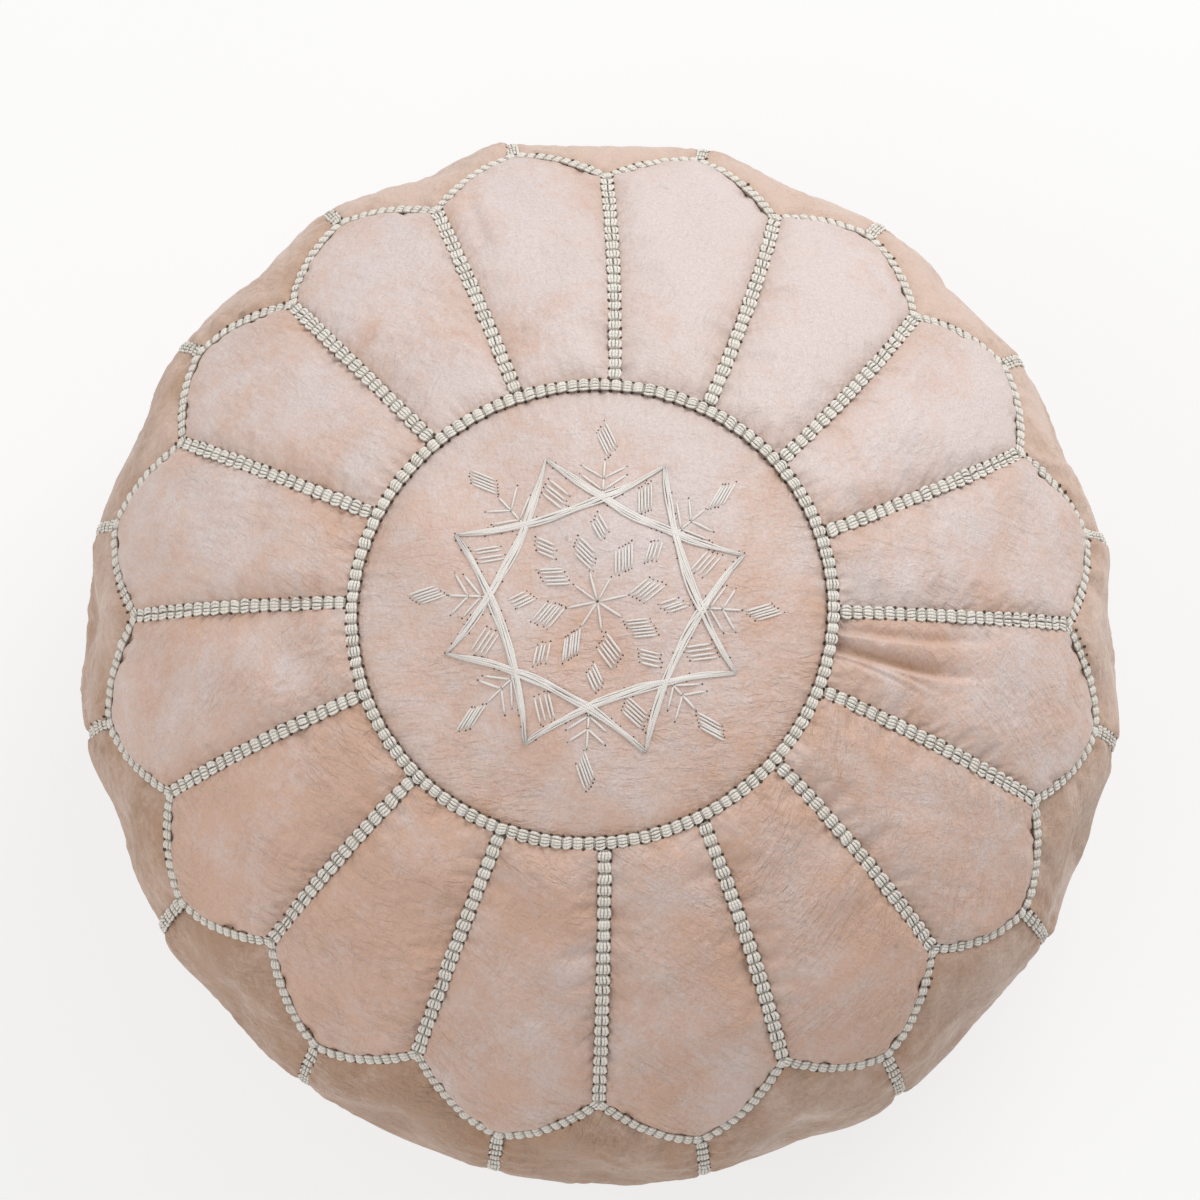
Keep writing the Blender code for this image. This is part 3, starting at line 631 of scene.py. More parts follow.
def petal_lift(grid):
    """Fine shape of a petal: gathers at its seams, soft hollows and wrinkles."""
    seed = 100 + 10 * grid.number
    lift = puckers(grid.top_gap, grid.aside, RING_GATHERS, seed)
    lift += puckers(grid.low_gap, grid.aside, PETAL_END_GATHERS, seed + 1)
    lift += puckers(grid.seam_gap, grid.station + 0.3 * grid.across, PETAL_EDGE_GATHERS, seed + 2)
    lift += stitch_dents(grid.seam_gap, grid.station, PETAL_BRAID)
    lift += stitch_dents(grid.top_gap, grid.aside, RING_BRAID)
    lift += relief(grid.points, PETAL_HOLLOWS, seed + 3)
    patch = smooth(0.5 + 0.9 * waves(grid.points, 0.05, seed + 4))
    lift += patch * relief(grid.points * (1, 1, 0.3), PETAL_WRINKLES, seed + 5)
    if grid.number == FOLDED_PETAL:
        lift -= folds(grid)
    if grid.number == CREASED_PETAL:
        middle, width, depth = CREASE
        crease = depth * np.exp(-(((grid.across - middle) * grid.half / width) ** 2))
        lift -= crease * smooth((grid.along - 0.45) / 0.2) * smooth((0.95 - grid.along) / 0.1)
    return lift


def side_lift_fine(grid):
    """Fine shape of a side panel: gathers at its seams and slack creases low on the side."""
    seed = 500 + 10 * grid.number
    lift = puckers(grid.top_gap, grid.aside + 0.3 * grid.station, SIDE_TOP_GATHERS, seed)
    lift += puckers(grid.low_gap, grid.aside, SIDE_LOW_GATHERS, seed + 1)
    lift += puckers(grid.seam_gap, grid.station, SIDE_EDGE_GATHERS, seed + 2)
    lift += stitch_dents(grid.seam_gap, grid.station, SIDE_BRAID)
    lift += relief(grid.points, SIDE_HOLLOWS, seed + 3)
    slack = smooth((grid.station - WIDEST_S) / 0.06) * smooth(grid.low_gap / 0.03)
    run = grid.station + 0.012 * waves(grid.points, 0.10, seed + 4)
    depth, spacing = SLACK_CREASES
    lift += depth * slack * line_waves(run, spacing, seed + 5) * smooth(grid.seam_gap / 0.02)
    corner = np.exp(-np.hypot(grid.seam_gap, grid.top_gap) / 0.014)
    pinch = line_waves(grid.aside + 0.5 * grid.station, 0.013, seed + 8)
    lift -= corner * (0.0010 + 0.0007 * pinch)
    patch = smooth(0.5 + 0.9 * waves(grid.points, 0.06, seed + 6))
    lift += patch * relief(grid.points, SIDE_WRINKLES, seed + 7)
    return lift


def panel_tone_and_shade(points, seed):
    """How tan a panel's leather is, from 0 to 1: different for each, and tanner towards the front and the
    left, partly as the leather's own tone and partly as painted shade away from the key light.
    """
    rng = np.random.default_rng(seed)
    place = points.reshape(-1, 3).mean(axis=0) / RADIUS
    return 0.42 - 0.20 * place[0] - 0.60 * place[1] + rng.uniform(-0.17, 0.17)


def leather_values(hide, gap, tone_and_shade):
    """Values the leather material reads, for both faces: place in the hide, seam gap, and tone with its
    painted shade.
    """
    values = {"hide": hide.reshape(-1, 3), "seam_gap": gap.ravel(), "tone_and_shade": np.ravel(tone_and_shade)}
    return {key: np.concatenate([value, value]) for key, value in values.items()}


def panel_hide(grid, seed, middle):
    """Places in the hide that a panel was cut from, turned differently for each panel."""
    turn = np.random.default_rng(seed).uniform(0, math.pi)
    along = grid.station - RING_S
    aside = (grid.angle - middle) * outline_at(grid.station)[0]
    u = aside * math.cos(turn) + along * math.sin(turn)
    v = along * math.cos(turn) - aside * math.sin(turn)
    return np.stack([u, v, np.full_like(u, float(seed % 97))], axis=-1)


SURFACES = []


def add_leather(name, outer, normals, values):
    """Closed piece of leather under a grid of outer points. Its outer face is kept for sewing on."""
    outer[..., 2] = np.maximum(outer[..., 2], 0.0)
    points, faces = closed_sheet(outer, outer - LEATHER * normals)
    SURFACES.append((outer.reshape(-1, 3), grid_quads(*outer.shape[:2])))
    return add_mesh(name, points, faces, values)


def add_panels(leather, shaded_side_leather):
    """Petals and side panels, shaped by the simulation and by their fine wrinkles."""
    moves = inflate_cover()
    for (place, number), move in zip(COVER_PANELS, moves):
        petal = place is petal_place
        grid = fitted_grid(place, number, FINE_GRID if petal else SIDE_GRID)
        lift = petal_lift(grid) if petal else side_lift_fine(grid)
        lift = lift * (1 - np.exp(-grid.gap / TAUT_REACH)) - SEAM_SINK * np.exp(-grid.gap / SEAM_REACH)
        swell = PETAL_SWELL if petal else SIDE_SWELL
        move = move * swell / max(np.percentile(np.linalg.norm(move, axis=-1), 90), 1e-6)
        size = np.maximum(np.linalg.norm(move, axis=-1), 1e-6)
        move = move * np.minimum(1, 1.4 * swell / size)[..., None]
        outer = grid.points + refine(move, grid.rows, grid.columns) + grid.normals * lift[..., None]
        seed = number + (0 if petal else 40)
        gap, tone_and_shade = grid.gap, np.full(grid.gap.shape, panel_tone_and_shade(grid.points, seed))
        # The folds' valleys are given a small seam gap, so that the painted seam shade darkens them too.
        if petal and number == FOLDED_PETAL:
            gap = mix(gap, 0.0, np.clip(folds(grid) / 0.0050, 0, 1))
        hide = panel_hide(grid, seed, (number + (0.5 if petal else 0.0)) * PITCH)
        kind, node = ("petal", "petal") if petal else ("side", "side_panel")
        values = leather_values(hide, gap, tone_and_shade)
        made = add_leather(f"{kind}_leather_{number + 1:02d}", outer, grid.normals, values)
        material, slot = (leather, "leather_top") if petal else (shaded_side_leather, "leather_side")
        finish_piece(made, material, slot, f"{node}_{number + 1:02d}")


def add_medallion(leather):
    """Round leather in the middle of the top, drawn down into the ring seam."""
    steps = round(1.6 * MEDALLION_RADIUS / FINE_GRID)
    u, v = np.meshgrid(np.linspace(-1, 1, steps), np.linspace(1, -1, steps))
    x, y = u * np.sqrt(1 - v**2 / 2), v * np.sqrt(1 - u**2 / 2)
    share, angle = np.hypot(x, y), np.arctan2(y, x)
    edge = ring_station(angle) - EDGE_GAP
    station = edge * share
    gap = edge - station
    points, normals = on_cover(angle, station), outward(angle, station)
    lift = puckers(gap, angle * MEDALLION_RADIUS, MEDALLION_GATHERS, 31)
    lift += stitch_dents(gap, angle * MEDALLION_RADIUS, RING_BRAID)
    lift *= 1 - np.exp(-gap / TAUT_REACH)
    lift -= 0.0008 * np.exp(-gap / 0.003) + 0.0017 * np.exp(-gap / 0.010)
    soft = relief(points, MEDALLION_HOLLOWS, 32) + relief(points, MEDALLION_WRINKLES, 33)
    lift += smooth(gap / 0.02) * soft
    outer = points + normals * lift[..., None]
    hide = np.stack([points[..., 0], points[..., 1], np.full_like(gap, 55.0)], axis=-1)
    # The medallion is painted tanner towards the front, partly its own tone and partly painted shade away
    # from the key light.
    values = leather_values(hide, gap, 0.42 - 3.0 * points[..., 1])
    made = add_leather("medallion_leather", outer, normals, values)
    finish_piece(made, leather, "leather_top", "medallion")


def slot_half_width(x):
    """Half the width of the zip's slot: open along the zip, closed to a seam beyond its ends."""
    closed = smooth((np.abs(x) - SLOT_HALF_LENGTH) / SLOT_END)
    return mix(SLOT_HALF_WIDTH, EDGE_GAP, closed)


def base_z(x, y):
    """Height of the base's outer face: flat on the floor, raised round the zip and at its rim."""
    wide, deep = out_of_round(BASE_SEAM_RADIUS, np.arctan2(y, x))
    radius = np.hypot(x / wide, y / deep)
    rim = np.interp(lower_station(radius), LINE_S, LINE_Z)
    beside = 1 - smooth((np.abs(y) - SLOT_HALF_WIDTH) / RECESS_REACH)
    along = 1 - smooth((np.abs(x) - SLOT_HALF_LENGTH) / RECESS_REACH)
    return np.where(radius > FLAT_BASE_RADIUS, rim, RECESS_DEPTH * beside * along)


def add_base(leather):
    """Two halves of the base, on both sides of the zip."""
    edge = BASE_SEAM_RADIUS - EDGE_GAP
    for name, side, seed in (("front", -1, 81), ("back", 1, 82)):
        columns, rows = BASE_GRID
        across, along = np.meshgrid(np.linspace(side, -side, columns), np.linspace(0, 1, rows))
        turn = math.acos(EDGE_GAP / edge) * across
        inner_x = 0.97 * edge * across
        inner_y = side * slot_half_width(inner_x)
        run, rise = edge * np.sin(turn), side * edge * np.cos(turn)
        wide, deep = out_of_round(BASE_SEAM_RADIUS, np.arctan2(rise, run))
        x, y = mix(wide * run, inner_x, along), mix(deep * rise, inner_y, along)
        gap = np.minimum(np.abs(y) - slot_half_width(x), edge - np.hypot(x / wide, y / deep))
        gap = np.maximum(gap, 0)
        flat = np.stack([x, y], axis=-1)
        dents = 0.0005 + relief(flat, BASE_HOLLOWS, seed) + relief(flat, BASE_WRINKLES, seed + 2)
        z = base_z(x, y) + np.maximum(dents, 0) * smooth(gap / 0.01)
        outer = np.stack([x, y, z], axis=-1)
        hide = np.stack([x, y, np.full_like(x, float(seed))], axis=-1)
        values = leather_values(hide, gap, np.full_like(gap, 0.9))
        made = add_leather(f"base_leather_{name}", outer, -UP, values)
        finish_piece(made, leather, "leather_base", f"base_half_{name}")


def cover_tree():
    """The leather's outer faces, for laying thread on."""
    points, faces, start = [], [], 0
    for part_points, part_faces in SURFACES:
        points.append(part_points)
        faces.append(part_faces + start)
        start += len(part_points)
    points, faces = np.concatenate(points), np.concatenate(faces)
    return BVHTree.FromPolygons(points.tolist(), faces.tolist(), epsilon=0.0)


def laid_on(tree, points, ways):
    """Where points land on the leather when pushed inward against ways, and the leather's normals."""
    landed, normals = points.copy(), ways.copy()
    for i, (point, way) in enumerate(zip(points, ways)):
        start = Vector(point) + Vector(way) * 0.03
        hit, normal, _, _ = tree.ray_cast(start, -Vector(way), 0.06)
        if hit is not None:
            landed[i], normals[i] = hit, normal
    return landed, normals


def hole_parts(places, normals, radius):
    """Needle holes: small dark discs set into the leather, painted shade for the holes."""
    normals = unit(normals)[:, None]
    paths = places[:, None] + normals * np.array((-HOLE_DEPTH, HOLE_RISE))[:, None]
    return tubes(paths, radius[:, None], np.array((0.31, 0.17, 0.93)), sides=8)


class Line:
    """A seam as places on the cover, walked by length."""

    def __init__(self, angle, station):
        self.points, self.ways = on_cover(angle, station), outward(angle, station)
        steps = np.linalg.norm(np.diff(self.points, axis=0), axis=1)
        self.length = np.concatenate([[0], np.cumsum(steps)])
        self.total = float(self.length[-1])

    def read(self, rows, place):
        """Rows read at lengths along the line."""
        return np.stack([np.interp(place, self.length, rows[:, i]) for i in range(3)], axis=-1)

    def at(self, place, step=0.002):
        """Points, outward directions and sideways directions at lengths along the line."""
        place = np.asarray(place, float)
        ends = [self.read(self.points, np.clip(place + way, 0, self.total)) for way in (step, -step)]
        ways = unit(self.read(self.ways, place))
        return self.read(self.points, place), ways, unit(np.cross(ways, unit(ends[0] - ends[1])))


def braid_cells(line, size, strands, seed, height=BRAID_HEIGHT, sunk=BRAID_SINK, double=0.0, steps=7):
    """Strands of a braid: cells of thread that arch from one needle gap to the next.

    Sunk is how deep the cells' ends lie, and double is how far the cells part into two rows of
    beads towards the line's end.
    """
    width, pitch = size
    rng = np.random.default_rng(seed)
    count = max(2, round(line.total / pitch))
    ends = np.linspace(0, line.total, count + 1)
    ends[1:-1] += rng.normal(0, 0.05 * pitch, count - 1)
    start, end = ends[:-1], ends[1:]
    t = np.linspace(0, 1, steps)
    arch = np.sin(math.pi * t) ** 0.6
    wide = width * rng.uniform(0.90, 1.06, count)
    tall = height * rng.uniform(0.84, 1.12, count)
    parted = double * smooth((start / line.total - 0.25) / 0.45) * rng.uniform(0.35, 1.0, count)
    slant = rng.normal(0, 0.07, count)[:, None] * (t - 0.5)
    thread = 0.5 * width / strands * 1.04
    paths, radii, ups = [], [], []
    for strand in range(strands):
        lane = (strand + 0.5) / strands * 2 - 1
        slip = rng.normal(0, 0.05, count)
        place = mix(start[:, None], end[:, None], mix(0.07, 0.93, t)) + slip[:, None] * 0.15 * pitch
        middle, up, aside = line.at(place)
        pinch = mix(0.60, 1.0, arch)[None]
        spread = 0.5 * (wide[:, None] - 2 * thread) * (lane + slip[:, None] * 0.5)
        offset = spread * pinch * strands / max(strands - 1, 1)
        offset = offset + width * (0.05 * np.sign(lane) * parted[:, None] * arch + slant)
        crown = mix(1 - 0.42 * lane**2, 0.86 + 0.22 * (abs(lane) > 0.6), parted[:, None])
        uneven = rng.uniform(0.90, 1.10, (count, 1))
        rise = thread * 0.2 + (tall[:, None] - thread) * arch[None] * crown * uneven
        paths.append(middle + aside * offset[..., None] + up * (rise - sunk)[..., None])
        radii.append(thread * mix(0.70, 1.0, arch)[None] * rng.uniform(0.92, 1.06, (count, 1)))
        ups.append(up)
    part = tubes(np.concatenate(paths), np.concatenate(radii), np.concatenate(ups))
    part[2]["cell"] = np.tile(np.repeat(rng.uniform(0, 1, count), steps * 6), strands)
    return part, ends


def braid_core(line, width):
    """Raised seam edges under a braid, painted dark as thread in shade, so that nothing shows through between
    its cells.
    """
    place = np.linspace(0, line.total, max(3, round(line.total / 0.003)))
    middle, up, _ = line.at(place)
    path = (middle - CORE_DEPTH * up)[None]
    return with_cell(tubes(path, 0.30 * width, up, sides=10, flat=0.7), -1)


def braid_ties(line, ends, width):
    """Threads drawn tightly across the braid between its cells, painted dark as thread in shade."""
    middle, up, aside = line.at(ends)
    t = np.linspace(-1, 1, 5)
    offset = 0.34 * width * t
    rise = 0.0011 * (1 - t**4) - BRAID_SINK
    paths = middle[:, None] + aside[:, None] * offset[:, None] + up[:, None] * rise[:, None]
    return with_cell(tubes(paths, TIE_RADIUS, up[:, None], sides=5), -1)


def braid_holes(line, ends, width):
    """Places of the needle holes on both sides of each gap, in the notches between cells."""
    middle, up, aside = line.at(ends)
    places = [middle + aside * side * (0.46 * width - EDGE_GAP) for side in (-1, 1)]
    return np.concatenate(places), np.concatenate([up, up])


def round_line(station):
    """A seam all the way round the cover, at a station for every angle."""
    angle = np.linspace(0, TAU, 721)
    return Line(angle, station(angle))


def petal_line(number):
    """A petal seam, from beside the ring to the fork."""
    nominal = number * PITCH
    start = ring_station(nominal) + 0.5 * RING_BRAID[0] + BRAID_CLEARANCE
    station = np.linspace(start, fork_station(nominal) - 0.0012, 60)
    return Line(seam_angle(number, station), station)


def scallop_line(number):
    """The scalloped edge of one petal, from fork to fork."""
    across = np.linspace(-1, 1, 61)
    station = scallop_station(number, across)
    return Line(panel_angle(number, across, station), station)


def side_line(number):
    """An upright side seam, from a scallop's point to the base seam."""
    nominal = number + 0.5
    start = scallop_station(number, 0.0) + 0.5 * SCALLOP_BRAID[0] + BRAID_CLEARANCE
    station = np.linspace(start, BASE_SEAM_S - 0.5 * BASE_BRAID[0], 120)
    return Line(seam_angle(nominal, station), station)


def add_braid(name, lines, size, strands, seed, material, nodes, holes, **shape):
    """One braid object over several seams. Adds the places of its needle holes to holes."""
    parts = []
    for i, line in enumerate(lines):
        part, ends = braid_cells(line, size, strands, seed + i, **shape)
        parts += [part, braid_ties(line, ends, size[0]), braid_core(line, size[0])]
        holes.append(braid_holes(line, ends, size[0]))
    add_thread(name, parts, material, "braid_thread", *nodes)


def add_braids(bright, dull):
    """Every braid. Returns the places of the needle holes beside them."""
    holes = []
    petals = range(PANELS)
    ring, base = round_line(ring_station), round_line(lambda angle: np.full_like(angle, BASE_SEAM_S))
    spokes, scallops = [petal_line(n) for n in petals], [scallop_line(n) for n in petals]
    uprights = [side_line(n) for n in petals]
    low, deep = {"height": LOW_BRAID_HEIGHT}, {"height": SIDE_BRAID_HEIGHT, "sunk": SIDE_BRAID_SINK}
    add_braid("medallion_ring_braid", [ring], RING_BRAID, 4, 1000, bright, ["medallion_braid"], holes)
    add_braid("petal_seam_braid", spokes, PETAL_BRAID, 4, 2000, bright, ["petal_braid"], holes, double=1.0)
    add_braid("scallop_braid", scallops, SCALLOP_BRAID, 3, 3000, dull, [], holes, **low)
    add_braid("side_seam_braid", uprights, SIDE_BRAID, 4, 4000, dull, ["side_braid"], holes, **deep)
    add_braid("base_seam_braid", [base], BASE_BRAID, 3, 5000, dull, [], holes, **low)
    return holes


def flat_way(angle):
    """Unit vector in the medallion's plane."""
    return np.array((math.cos(angle), math.sin(angle)))


def lozenge(angle, diamond, count, rng, slant=31.0, stack=-34.0):
    """Parallel stitches that fill a slanted diamond whose long diagonal points outward."""
    radius, length, width = diamond
    middle = radius * flat_way(angle)
    stitch = flat_way(angle + math.radians(slant + rng.normal(0, 5)))
    row = flat_way(angle + math.radians(stack + rng.normal(0, 5)))
    found = []
    for i in range(count):
        place = middle + row * width * ((i + 0.5) / count - 0.5) + rng.normal(0, 0.00018, 2)
        half = 0.5 * length * rng.uniform(0.93, 1.05)
        found.append((place - stitch * half, place + stitch * half))
    return found


def snowflake_stitches():
    """Straight stitches of the embroidery as pairs of ends, round its own middle."""
    rng = np.random.default_rng(7)
    found = []
    eighth = TAU / 8
    for i in range(8):
        spoke = math.radians(12) + i * eighth + math.radians(rng.normal(0, 4))
        found.append((0.0008 * flat_way(spoke), rng.uniform(0.0122, 0.0155) * flat_way(spoke)))
        found += lozenge(math.radians(14) + i * eighth, INNER_DIAMOND, rng.choice([5, 5, 6]), rng)
        found += lozenge(math.radians(-2) + i * eighth, SMALL_DIAMOND, 4, rng)
    found = [(start + INNER_MIDDLE, end + INNER_MIDDLE) for start, end in found]
    for i in range(8):
        point = STAR_TURN + (i + 0.53) * eighth
        found += lozenge(point, POINT_DIAMOND, rng.choice([4, 5]), rng, slant=29, stack=-38)
        found += sprig(STAR_TURN + i * eighth + math.radians(rng.normal(0.8, 0.8)), rng)
    return found


def sprig(angle, rng):
    """Stem from a crossing of the star, two pairs of twigs and a diamond bud."""
    way = flat_way(angle)
    found = [(start * way, end * way) for start, end in zip(SPRIG_STOPS, SPRIG_STOPS[1:])]
    for start, reach in zip(SPRIG_STOPS[1:], TWIG_LENGTHS):
        for side in (-1, 1):
            twig = flat_way(angle + side * math.radians(57 + rng.normal(0, 5)))
            found.append((start * way, start * way + twig * reach * rng.uniform(0.9, 1.08)))
    found += lozenge(angle, BUD_DIAMOND, 5, rng, slant=23, stack=-28)
    return found


def star_strands():
    """Long threads of the star's eight bowed sides, as paths round its middle."""
    paths, lifts = [], []
    rng = np.random.default_rng(17)
    steps = 41
    t = np.linspace(0, 1, steps)
    for side in range(8):
        first = flat_way(STAR_TURN + (side + 0.5) * TAU / 8)
        second = np.array((-first[1], first[0]))
        inward = -(first + second) / math.sqrt(2)
        spine = mix(first, second, t[:, None]) + inward * STAR_BOW * (4 * t * (1 - t))[:, None]
        normal = inward
        for strand in range(STAR_STRANDS):
            lane = 2 * strand / (STAR_STRANDS - 1) - 1
            spread = 0.5 * (STAR_WIDTH - 2 * STITCH_RADIUS) * (0.20 + 0.80 * np.sin(math.pi * t) ** 0.6)
            stray = 0.00025 * line_waves(t + side, 0.35, int(rng.integers(1e6)))
            path = spine * STAR_RADIUS + normal * (lane * spread + stray)[:, None]
            paths.append(path)
            over = 0.0007 * np.exp(-(((t - (0.31 if side % 2 else 0.69)) / 0.045) ** 2))
            lifts.append(0.00050 + over + 0.00014 * rng.normal() + 0.0003 * (1 - lane**2))
    return np.array(paths), np.array(lifts)


def medallion_points(tree, flat):
    """Points on the medallion's leather over places in its plane, and its normals."""
    places = np.concatenate([flat + STAR_MIDDLE, np.full(flat.shape[:-1] + (1,), HEIGHT)], axis=-1)
    ways = np.broadcast_to(UP, places.shape)
    points, normals = laid_on(tree, places.reshape(-1, 3).copy(), ways.reshape(-1, 3).copy())
    return points.reshape(places.shape), normals.reshape(places.shape)


def add_embroidery(tree, material):
    """Thread star, diamonds and sprigs on the medallion. Returns the places of their needle holes."""
    rng = np.random.default_rng(3)
    flat, lifts = star_strands()
    points, normals = medallion_points(tree, flat)
    radii = np.broadcast_to(np.linspace(0, 1, flat.shape[1]), lifts.shape)
    radii = STITCH_RADIUS * (0.55 + 0.55 * np.sin(math.pi * radii) ** 0.5)
    star = tubes(points + normals * lifts[..., None], radii, normals)
    pairs = np.array(snowflake_stitches())
    t = np.linspace(0, 1, 7)
    flat_paths = mix(pairs[:, None, 0], pairs[:, None, 1], t[None, :, None])
    laid, ways = medallion_points(tree, flat_paths)
    rise = mix(-0.0003, 0.00042, np.sin(math.pi * t) ** 0.35)
    thick = STITCH_RADIUS * (0.75 + 0.42 * np.sin(math.pi * t) ** 0.5)
    thick = thick * rng.uniform(0.9, 1.12, (len(pairs), 1))
    stitches = tubes(laid + ways * rise[None, :, None], thick, ways)
    add_thread("star_thread", [star, stitches], material, "embroidery_thread", "star_embroidery")
    ends = pairs + unit(pairs - pairs[:, ::-1]) * 0.0004
    spots = ends.reshape(-1, 2)
    spots = spots[rng.uniform(size=len(spots)) < 0.82]
    edge = flat.reshape(8, STAR_STRANDS, -1, 2)
    for side in range(8):
        for lane, way in ((0, -1), (-1, 1)):
            away = way * unit(edge[side, -1] - edge[side, 0])
            picked = np.flatnonzero(rng.uniform(size=edge.shape[2]) < 0.17)
            spots = np.concatenate([spots, edge[side, lane, picked] + away[picked] * 0.0008])
    return medallion_points(tree, spots)


def add_needle_holes(tree, holes, sewn, material):
    """Needle holes beside the braids and at the ends of the embroidery's stitches, as dark discs of painted
    shade.
    """
    rng = np.random.default_rng(9)
    places = np.concatenate([pair[0] for pair in holes])
    ways = np.concatenate([pair[1] for pair in holes])
    places, normals = laid_on(tree, places, ways)
    braid = hole_parts(places, normals, rng.uniform(*BRAID_HOLES, len(places)))
    small = hole_parts(*sewn, rng.uniform(*STITCH_HOLES, len(sewn[0])))
    add_thread("needle_holes", [braid, small], material, "leather_top")


def add_zip_stitches(material):
    """Two rows of stitches that hold the zip's tapes to the base leather."""
    count = round(2 * SLOT_HALF_LENGTH / ZIP_STITCH)
    start = -SLOT_HALF_LENGTH + ZIP_STITCH * np.arange(count)
    t = np.linspace(0, 1, 5)
    paths = []
    for side in (-1, 1):
        for row in ZIP_STITCH_ROWS:
            x = start[:, None] + (ZIP_STITCH - ZIP_STITCH_GAP) * t
            y = np.full_like(x, side * (SLOT_HALF_WIDTH + row))
            z = base_z(x, y) + mix(0.0003, -0.0002, np.sin(math.pi * t) ** 0.5)
            paths.append(np.stack([x, y, z], axis=-1))
    paths = np.concatenate(paths)
    part = with_cell(tubes(paths, ZIP_STITCH_RADIUS, -UP), 0)
    add_thread("zip_stitches", [part], material, "braid_thread")


def turned_sheet(outline, thick, ripple, count=240):
    """Closed sheet turned from an outline of radius and height, with its ripples."""
    radius, height = outline[:, 0], outline[:, 1]
    run, fall = np.gradient(radius), np.gradient(height)
    size = np.hypot(run, fall)
    out, up = -fall / size, run / size
    angle = np.linspace(0, TAU, count, endpoint=False)[None]
    layers = []
    for depth in (0.0, -thick):
        lift = (ripple(angle, radius[:, None]) + depth) * np.ones((len(radius), 1))
        r = np.maximum(radius[:, None] + out[:, None] * lift, 0.0002)
        z = height[:, None] + up[:, None] * lift
        layers.append(np.stack([r * np.cos(angle), r * np.sin(angle), z], axis=-1))
    return layers


def turned_faces(rows, count):
    """Faces of a closed turned sheet, open at its last row and capped by a disc at its first."""
    total = rows * count
    quads = grid_quads(rows, count, wrap=True)
    last = np.arange(count) + (rows - 1) * count
    after = np.roll(last, -1)
    rim = np.stack([last, last + total, after + total, after], axis=-1)
    first = np.arange(count)
    caps = np.stack([first, first[::-1] + total])
    return [np.concatenate([quads, quads[:, ::-1] + total, rim]), caps]


def inset_outline(inset, floor_z, count):
    """Outline of the cover moved inward, from the middle of the top down to a flat floor."""
    r, z, out, up = outline_at(np.linspace(0, BASE_SEAM_S, 20 * count))
    points = np.stack([np.maximum(r - inset * out, 0.001), z - inset * up], axis=-1)
    above = points[points[:, 1] > floor_z]
    return above[np.linspace(0, len(above) - 1, count).astype(int)]


def flat_outline(outer, inner, height, count):
    """Flat part of an outline, from an outer radius in to an inner one."""
    return np.stack([np.linspace(outer, inner, count), np.full(count, height)], axis=1)


def add_bag(material):
    """Cotton bag gathered into pleats at its neck."""
    wall = inset_outline(BAG_INSET, BAG_FLOOR_Z, 90)
    mouth = BAG_MOUTH_RADIUS
    floor = flat_outline(wall[-1, 0] - 0.002, mouth + 0.003, BAG_FLOOR_Z, 50)
    neck = np.array([
        (mouth + 0.001, BAG_FLOOR_Z - 0.001), (mouth, BAG_FLOOR_Z - 0.0025),
        (mouth, BAG_NECK_Z + 0.001), (mouth + 0.0005, BAG_NECK_Z),
    ])
    outline = np.vstack([wall, floor, neck])

    def ripple(angle, radius):
        pleats = 0.0009 * np.sin(44 * angle + 2 * np.sin(3 * angle)) * np.exp(-(radius - mouth) / 0.05)
        slack = 0.0010 * np.sin(5 * angle + 30 * radius) * np.sin(70 * radius + 3 * np.sin(2 * angle))
        return pleats + slack - 0.001

    outer, inner = turned_sheet(outline, BAG_CLOTH, ripple)
    points = np.concatenate([outer.reshape(-1, 3), inner.reshape(-1, 3)])
    made = add_mesh("cotton_bag", points, turned_faces(*outer.shape[:2]))
    finish_piece(made, material, "cotton_cloth", "inner_bag")


def add_filling(material):
    """Loose filling, packed into lumps."""
    wall = inset_outline(FILLING_INSET, FILLING_FLOOR_Z, 80)
    outline = np.vstack([wall, flat_outline(wall[-1, 0] - 0.003, 0.001, FILLING_FLOOR_Z, 40)])
    count = 200
    angle = np.linspace(0, TAU, count, endpoint=False)[None]
    radius, height = outline[:, :1], outline[:, 1:]
    points = np.stack([radius * np.cos(angle), radius * np.sin(angle), height * np.ones_like(angle)], axis=-1)
    middle = np.array((0, 0, 0.5 * HEIGHT))
    lumps = 0.0018 * waves(points, 0.05, 61) + 0.0008 * waves(points, 0.015, 62) - 0.0025
    points = points + unit(points - middle) * lumps[..., None]
    points[..., 2] = np.maximum(points[..., 2], FILLING_FLOOR_Z - 0.001)
    rows = len(outline)
    first, last = np.arange(count), np.arange(count) + (rows - 1) * count
    faces = [grid_quads(rows, count, wrap=True), np.stack([first, last[::-1]])]
    made = add_mesh("filling_lumps", points.reshape(-1, 3), faces)
    finish_piece(made, material, "filling", "stuffing")


def add_drawcord(material):
    """Two-ply cord round the bag's neck, with its tails."""
    ring = BAG_MOUTH_RADIUS + 0.0022
    z = BAG_FLOOR_Z - 0.0024
    t = np.linspace(0, 1, 361)
    parts = []
    for ply in range(2):
        turn = TAU * (CORD_TURNS * t + 0.5 * ply)
        r, angle = ring + CORD_PLY * np.cos(turn), TAU * t * 0.995
        path = np.stack([r * np.cos(angle), r * np.sin(angle), z + CORD_PLY * np.sin(turn)], axis=-1)
        parts.append(tubes(path[None], CORD_RADIUS, UP, sides=8))
        for tail in (-1, 1):
            turn = TAU * (TAIL_TURNS * t + 0.5 * ply)
            r, bend = ring + TAIL_LENGTH * t, tail * (0.10 * (1 - np.exp(-6 * t)) + 0.12 * t)
            path = np.stack([r * np.cos(bend), r * np.sin(bend), z + CORD_PLY * np.sin(turn)], axis=-1)
            path[:, 1] += CORD_PLY * np.cos(turn)
            parts.append(tubes(path[None], CORD_RADIUS, UP, sides=8))
    parts = [with_cell(part, 0) for part in parts]
    add_thread("twisted_drawcord", parts, material, "braid_thread", "bag_drawcord")


